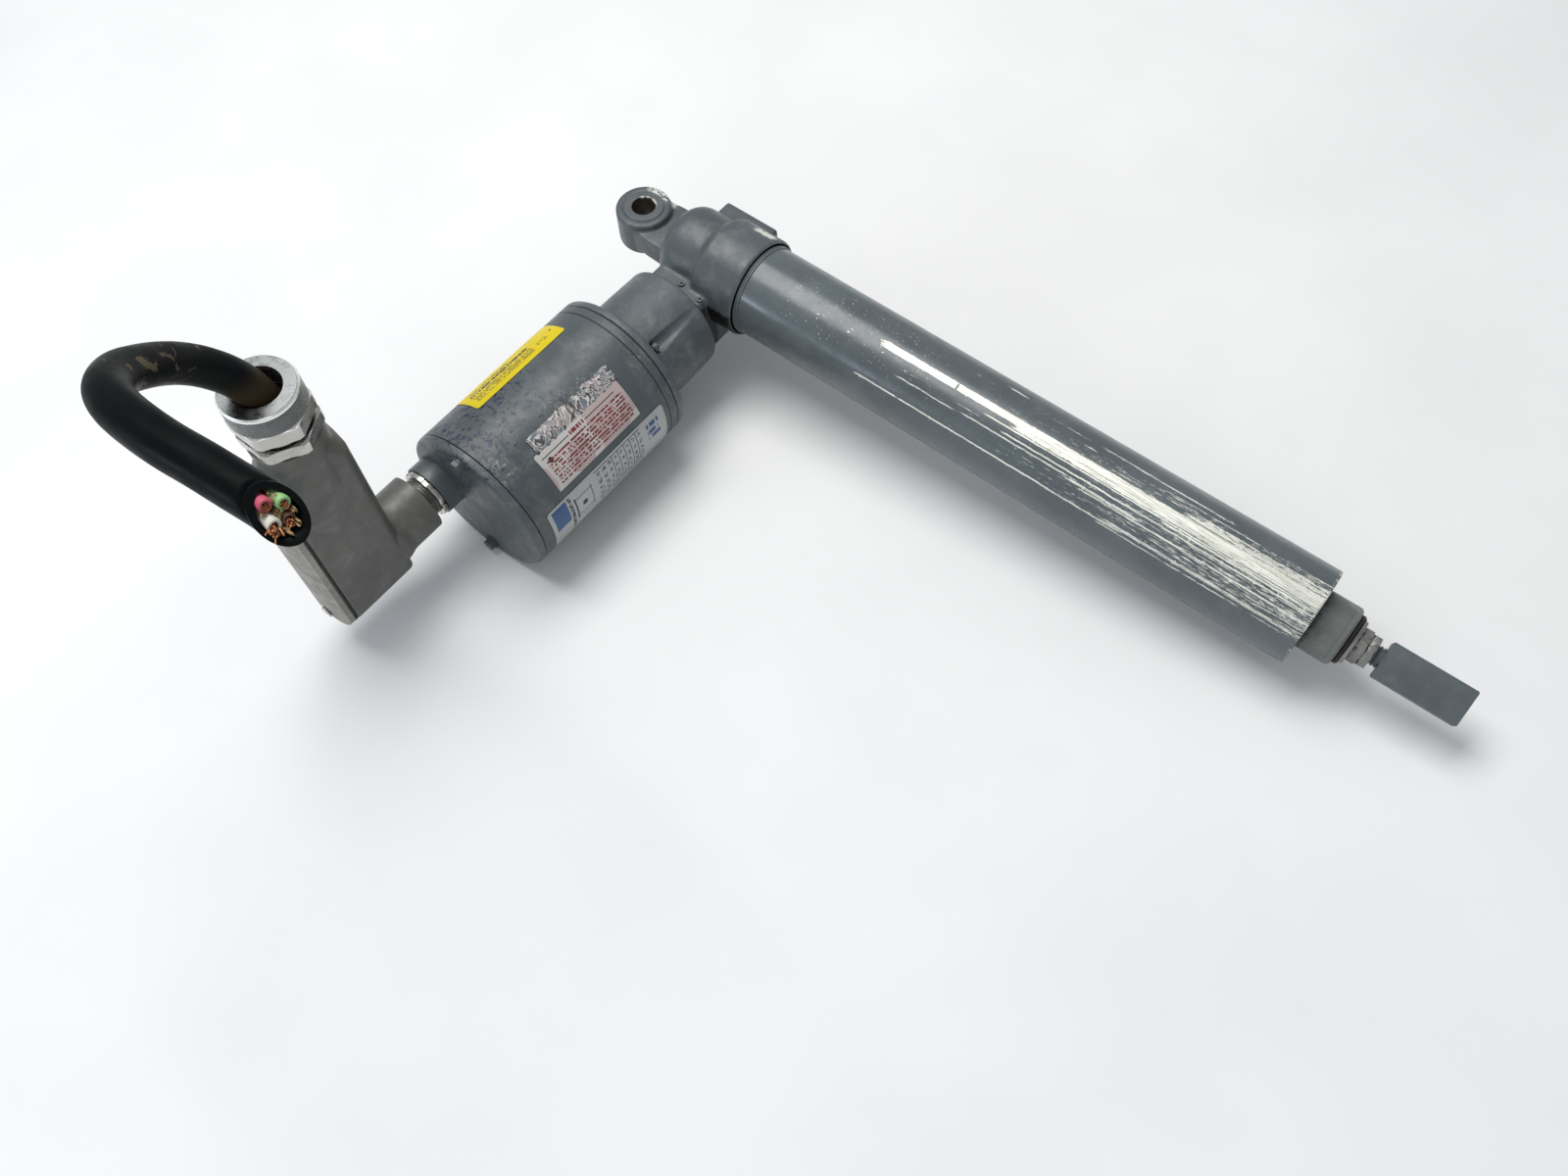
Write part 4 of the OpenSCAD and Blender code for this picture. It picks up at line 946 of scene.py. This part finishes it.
def filler_piece(rng):
    """Torn brown paper between the wires: five twisted strips at each place, in mm across the cable."""
    bm = bmesh.new()
    places = ((0, 0), (1.2, 0.8), (-1.0, -0.9), (4.6, 2.4), (3.4, 4.6), (-4.4, -2.6), (-5.6, -1.4),
              (-3.4, -4.9), (2.6, -4.7), (-2.6, 4.9), (-5.6, 3.0))
    for px, py in (place for place in places for _ in range(5)):
        a = rng.uniform(0, 2 * math.pi)
        wide = rng.uniform(0.5, 1.2)
        dx, dy = math.cos(a) * wide, math.sin(a) * wide
        ox, oy = px + rng.uniform(-0.9, 0.9), py + rng.uniform(-0.9, 0.9)
        tall = rng.uniform(-0.6, 2.2)
        rows = []
        for step in range(6):
            t = step / 5
            twist = rng.uniform(-0.3, 0.3)
            depth = -6 + (tall + 6) * t
            rows.append([bm.verts.new(end_point(ox + dx * s + twist * t, oy + dy * s - twist * t,
                                                depth + rng.uniform(-0.25, 0.25)))
                         for s in (-0.5, 0.0, 0.5)])
        for one, two in zip(rows, rows[1:]):
            for k in range(2):
                bm.faces.new((one[k], one[k + 1], two[k + 1], two[k]))
    piece = finish_piece("paper_filler", mesh_of("paper_filler", bm), "housing",
                         ("cable_filler",), ("filler",))
    piece.modifiers.new("thickness", "SOLIDIFY").thickness = 0.12 * MM
    return piece


make_cable()


# ---- labels ----

FILM_LIFT = 0.32  # how far a film lies off the shell, in mm


def motor_point(radius, angle, y):
    """A point round the motor's axis, in metres, from mm and radians."""
    return (MOTOR_AXIS + Vector((radius * math.sin(angle), y, radius * math.cos(angle)))) * MM


def label(name, node, materials, pattern, cell=0.6, corner=2.0):
    """A film on the motor shell, cut into small cells that each take one of the materials.
    pattern names the one at u mm along the motor from the cap's side and v mm round it, or None."""
    low, high = box_mm(node)
    corners = [Vector(v.co) / MM - MOTOR_AXIS for v in nodes[node].data.vertices]
    angles = [math.atan2(c.x, c.z) for c in corners]
    a0, a1 = min(angles), max(angles)
    long_side, short_side = high.y - low.y, (a1 - a0) * MOTOR_R
    cols, rows = int(long_side / cell), int(short_side / cell)
    bm = bmesh.new()
    grid = [[bm.verts.new(motor_point(MOTOR_R + FILM_LIFT, a, low.y + long_side * i / cols))
             for i in range(cols + 1)]
            for a in (a0 + (a1 - a0) * j / rows for j in range(rows + 1))]
    for j in range(rows):
        for i in range(cols):
            u, v = (i + 0.5) * long_side / cols, (j + 0.5) * short_side / rows
            du = max(corner - u, u - long_side + corner, 0)
            dv = max(corner - v, v - short_side + corner, 0)
            ink = None if math.hypot(du, dv) > corner else pattern(u, v, long_side, short_side)
            if ink is not None:
                grid_face(bm, grid, i, j).material_index = materials.index(ink)
    bmesh.ops.delete(bm, geom=[v for v in bm.verts if not v.link_faces], context="VERTS")
    finish_piece(name, mesh_of(name, bm), "housing", (node,), materials)


def scribble(u, v, row_height, fill, seed):
    """True inside rows of short bars that stand for lines of print."""
    row = int(v / row_height)
    if v / row_height - row > fill:
        return False
    return noise.noise(Vector((u * 0.9, row * 7.3 + seed, seed))) > -0.16


def yellow_pattern(u, v, long_side, short_side):
    """A block of print, a short line above it, a mark and a dot."""
    block = 12 < v < 24 and 5 < u < long_side - 22 and scribble(u, v - 14, 1.6, 0.5, 3.0)
    line = 7 < v < 11 and 5 < u < 40 and scribble(u, v, 1.9, 0.5, 5.0)
    mark = 19 < v < 22 and long_side - 18 < u < long_side - 10 and scribble(u, v, 1.9, 0.5, 9.0)
    dot = math.hypot(u - long_side + 4, v - 17) < 0.9
    return "ink_black" if block or line or mark or dot else "yellow"


def white_pattern(u, v, long_side, short_side):
    """A torn edge, a black rule with a red heading in it, rows of red print, a black dot, and
    pinkish stains."""
    torn = 2.2 + 1.76 * noise.noise(Vector((u * 0.35, 0, 4)))
    if v < torn:
        return None
    if abs(v - 6.4) < 0.55 and (u < 26 or u > 40) and 3 < u < long_side - 6:
        return "ink_black"
    if 5.2 < v < 7.8 and 27 < u < 39:
        return "ink_red" if scribble(u, v - 5.2, 2.6, 0.8, 6.0) else "film_white"
    if 9.4 < v < short_side - 2.5 and 4 < u < long_side - 3 and scribble(u, v - 9.4, 2.15, 0.55, 1.0):
        return "ink_red"
    if math.hypot(u - 7.5, v - 9.8) < 1.9:
        return "ink_black"
    return "film_pink" if noise.noise(Vector((u * 0.05, v * 0.07, 8))) > -0.05 else "film_white"


def plate_pattern(u, v, long_side, short_side):
    """A blue block at each end, a drawing in a frame, a ruled table, and a line of print on end."""
    inside = 2 < v < short_side - 3
    if 3 < u < 15 and inside and v < 20:
        return "ink_blue"
    if long_side - 17 < u < long_side - 6 and 5 < v < 20:
        return "ink_blue" if scribble(u * 0.6, v - 5, 5.0, 0.75, 2.0) else "plate_white"
    if 20 < u < 36 and 6 < v < 26:
        frame_line = min(abs(u - 21), abs(u - 35), abs(v - 8), abs(v - 24)) < 0.35
        inked = frame_line or math.hypot(u - 28, v - 16) < 2.2
    elif 40 < u < long_side - 22 and inside:
        column, row = (u - 40) % 5.4, (v - 2) % 6.2
        ruled = column < 0.4 or row < 0.4
        written = 1.4 < column < 4.2 and 1.6 < row < 4.8
        inked = ruled or (written and noise.noise(Vector((u * 1.3, v * 1.3, 5))) > -0.02)
    else:
        inked = 16 < u < 18.5 and inside and scribble(v, u, 2.5, 0.9, 4.0)
    return "ink_black" if inked else "plate_white"


label("label_yellow_film", "label_yellow", ("yellow", "ink_black"), yellow_pattern, cell=0.4)
label("label_white_film", "label_white",
      ("film_white", "ink_red", "ink_black", "film_pink"), white_pattern, corner=1.0)
label("nameplate_film", "nameplate", ("plate_white", "ink_black", "ink_blue"),
      plate_pattern)


def make_peeled_film():
    """The strip of clear film beside the white label, bubbled and lifted."""
    low, high = box_mm("label_white")
    a0, a1 = math.radians(23.5), math.radians(35.5)
    first_y, length = low.y + 4, high.y - low.y - 2
    cols, rows = 120, 20
    bm = bmesh.new()
    grid = []
    for v in (j / rows for j in range(rows + 1)):
        line = []
        for u in (i / cols for i in range(cols + 1)):
            ragged = 0.16 * noise.noise(Vector((u * 9, 1, 3)))
            fold = abs(noise.noise(Vector((u * 26, v * 5, 2))))
            lift = 0.5 + fold * math.sin(math.pi * v) * (0.4 + 0.6 * (1 - v))
            angle = a0 + (a1 - a0) * (v + ragged * (1 - v))
            line.append(bm.verts.new(motor_point(MOTOR_R + lift, angle, first_y + length * u)))
        grid.append(line)
    for j in range(rows):
        for i in range(cols):
            grid_face(bm, grid, i, j)
    finish_piece("peeled_film", mesh_of("peeled_film", bm), "housing", (), ("clear_film",))


make_peeled_film()


# ---- floor and light ----

FLOOR_TILT = math.radians(4.1)
FLOOR_HALF = 14.0  # in metres
STAGE_CENTRE = Vector((0.2, -0.15, 0.0))
# name, place from the stage's centre, width, height, watts, colour
LIGHTS = (("key", (-0.7, 0.15, 1.65), 1.3, 1.0, 27, (1.0, 0.99, 0.97)),
          ("fill", (1.3, -1.2, 1.1), 1.2, 1.2, 3.5, (0.95, 0.97, 1.0)),
          ("strip", (-0.72, -1.2, 0.32), 0.5, 0.14, 3.0, (0.72, 0.86, 1.0)))


def make_floor():
    """The motor lies on the floor, and the tube's end is almost down on it."""
    normal = Vector((-math.sin(FLOOR_TILT), 0, math.cos(FLOOR_TILT)))
    point = (MOTOR_AXIS - normal * (MOTOR_R + 0.6)) * MM
    mesh = bpy.data.meshes.new("floor")
    along = Vector((math.cos(FLOOR_TILT), 0, math.sin(FLOOR_TILT))) * FLOOR_HALF
    sideways = Vector((0, FLOOR_HALF, 0))
    corners = [point + along * a + sideways * b for a, b in ((-1, -1), (1, -1), (1, 1), (-1, 1))]
    mesh.from_pydata(corners, [], [(0, 1, 2, 3)])
    floor = bpy.data.objects.new("floor", mesh)
    bpy.context.scene.collection.objects.link(floor)
    g = Graph("floor", rough=0.9)
    p = g.point()
    colour = g.mix(g.ramp(g.noise(p, 6, 3), 0.3, 0.7), (0.80, 0.80, 0.80), (0.84, 0.84, 0.84))
    mesh.materials.append(g.finish(colour, None, g.bump(g.noise(p, 120, 3), 0.05, 0.0005)))


def make_light():
    world = bpy.data.worlds.new("studio")
    bpy.context.scene.world = world
    world.use_nodes = True
    background = world.node_tree.nodes["Background"]
    background.inputs["Color"].default_value = (0.93, 0.96, 1.0, 1)
    background.inputs["Strength"].default_value = 0.45
    for name, place, wide, tall, power, colour in LIGHTS:
        data = bpy.data.lights.new(name, "AREA")
        data.shape, data.size, data.size_y = "RECTANGLE", wide, tall
        data.energy, data.color = power, colour
        lamp = bpy.data.objects.new(name, data)
        bpy.context.scene.collection.objects.link(lamp)
        lamp.location = STAGE_CENTRE + Vector(place)
        lamp.rotation_mode = "QUATERNION"
        lamp.rotation_quaternion = (-Vector(place)).to_track_quat("-Z", "Y")
    bpy.context.scene.view_settings.view_transform = "Standard"


make_floor()
make_light()
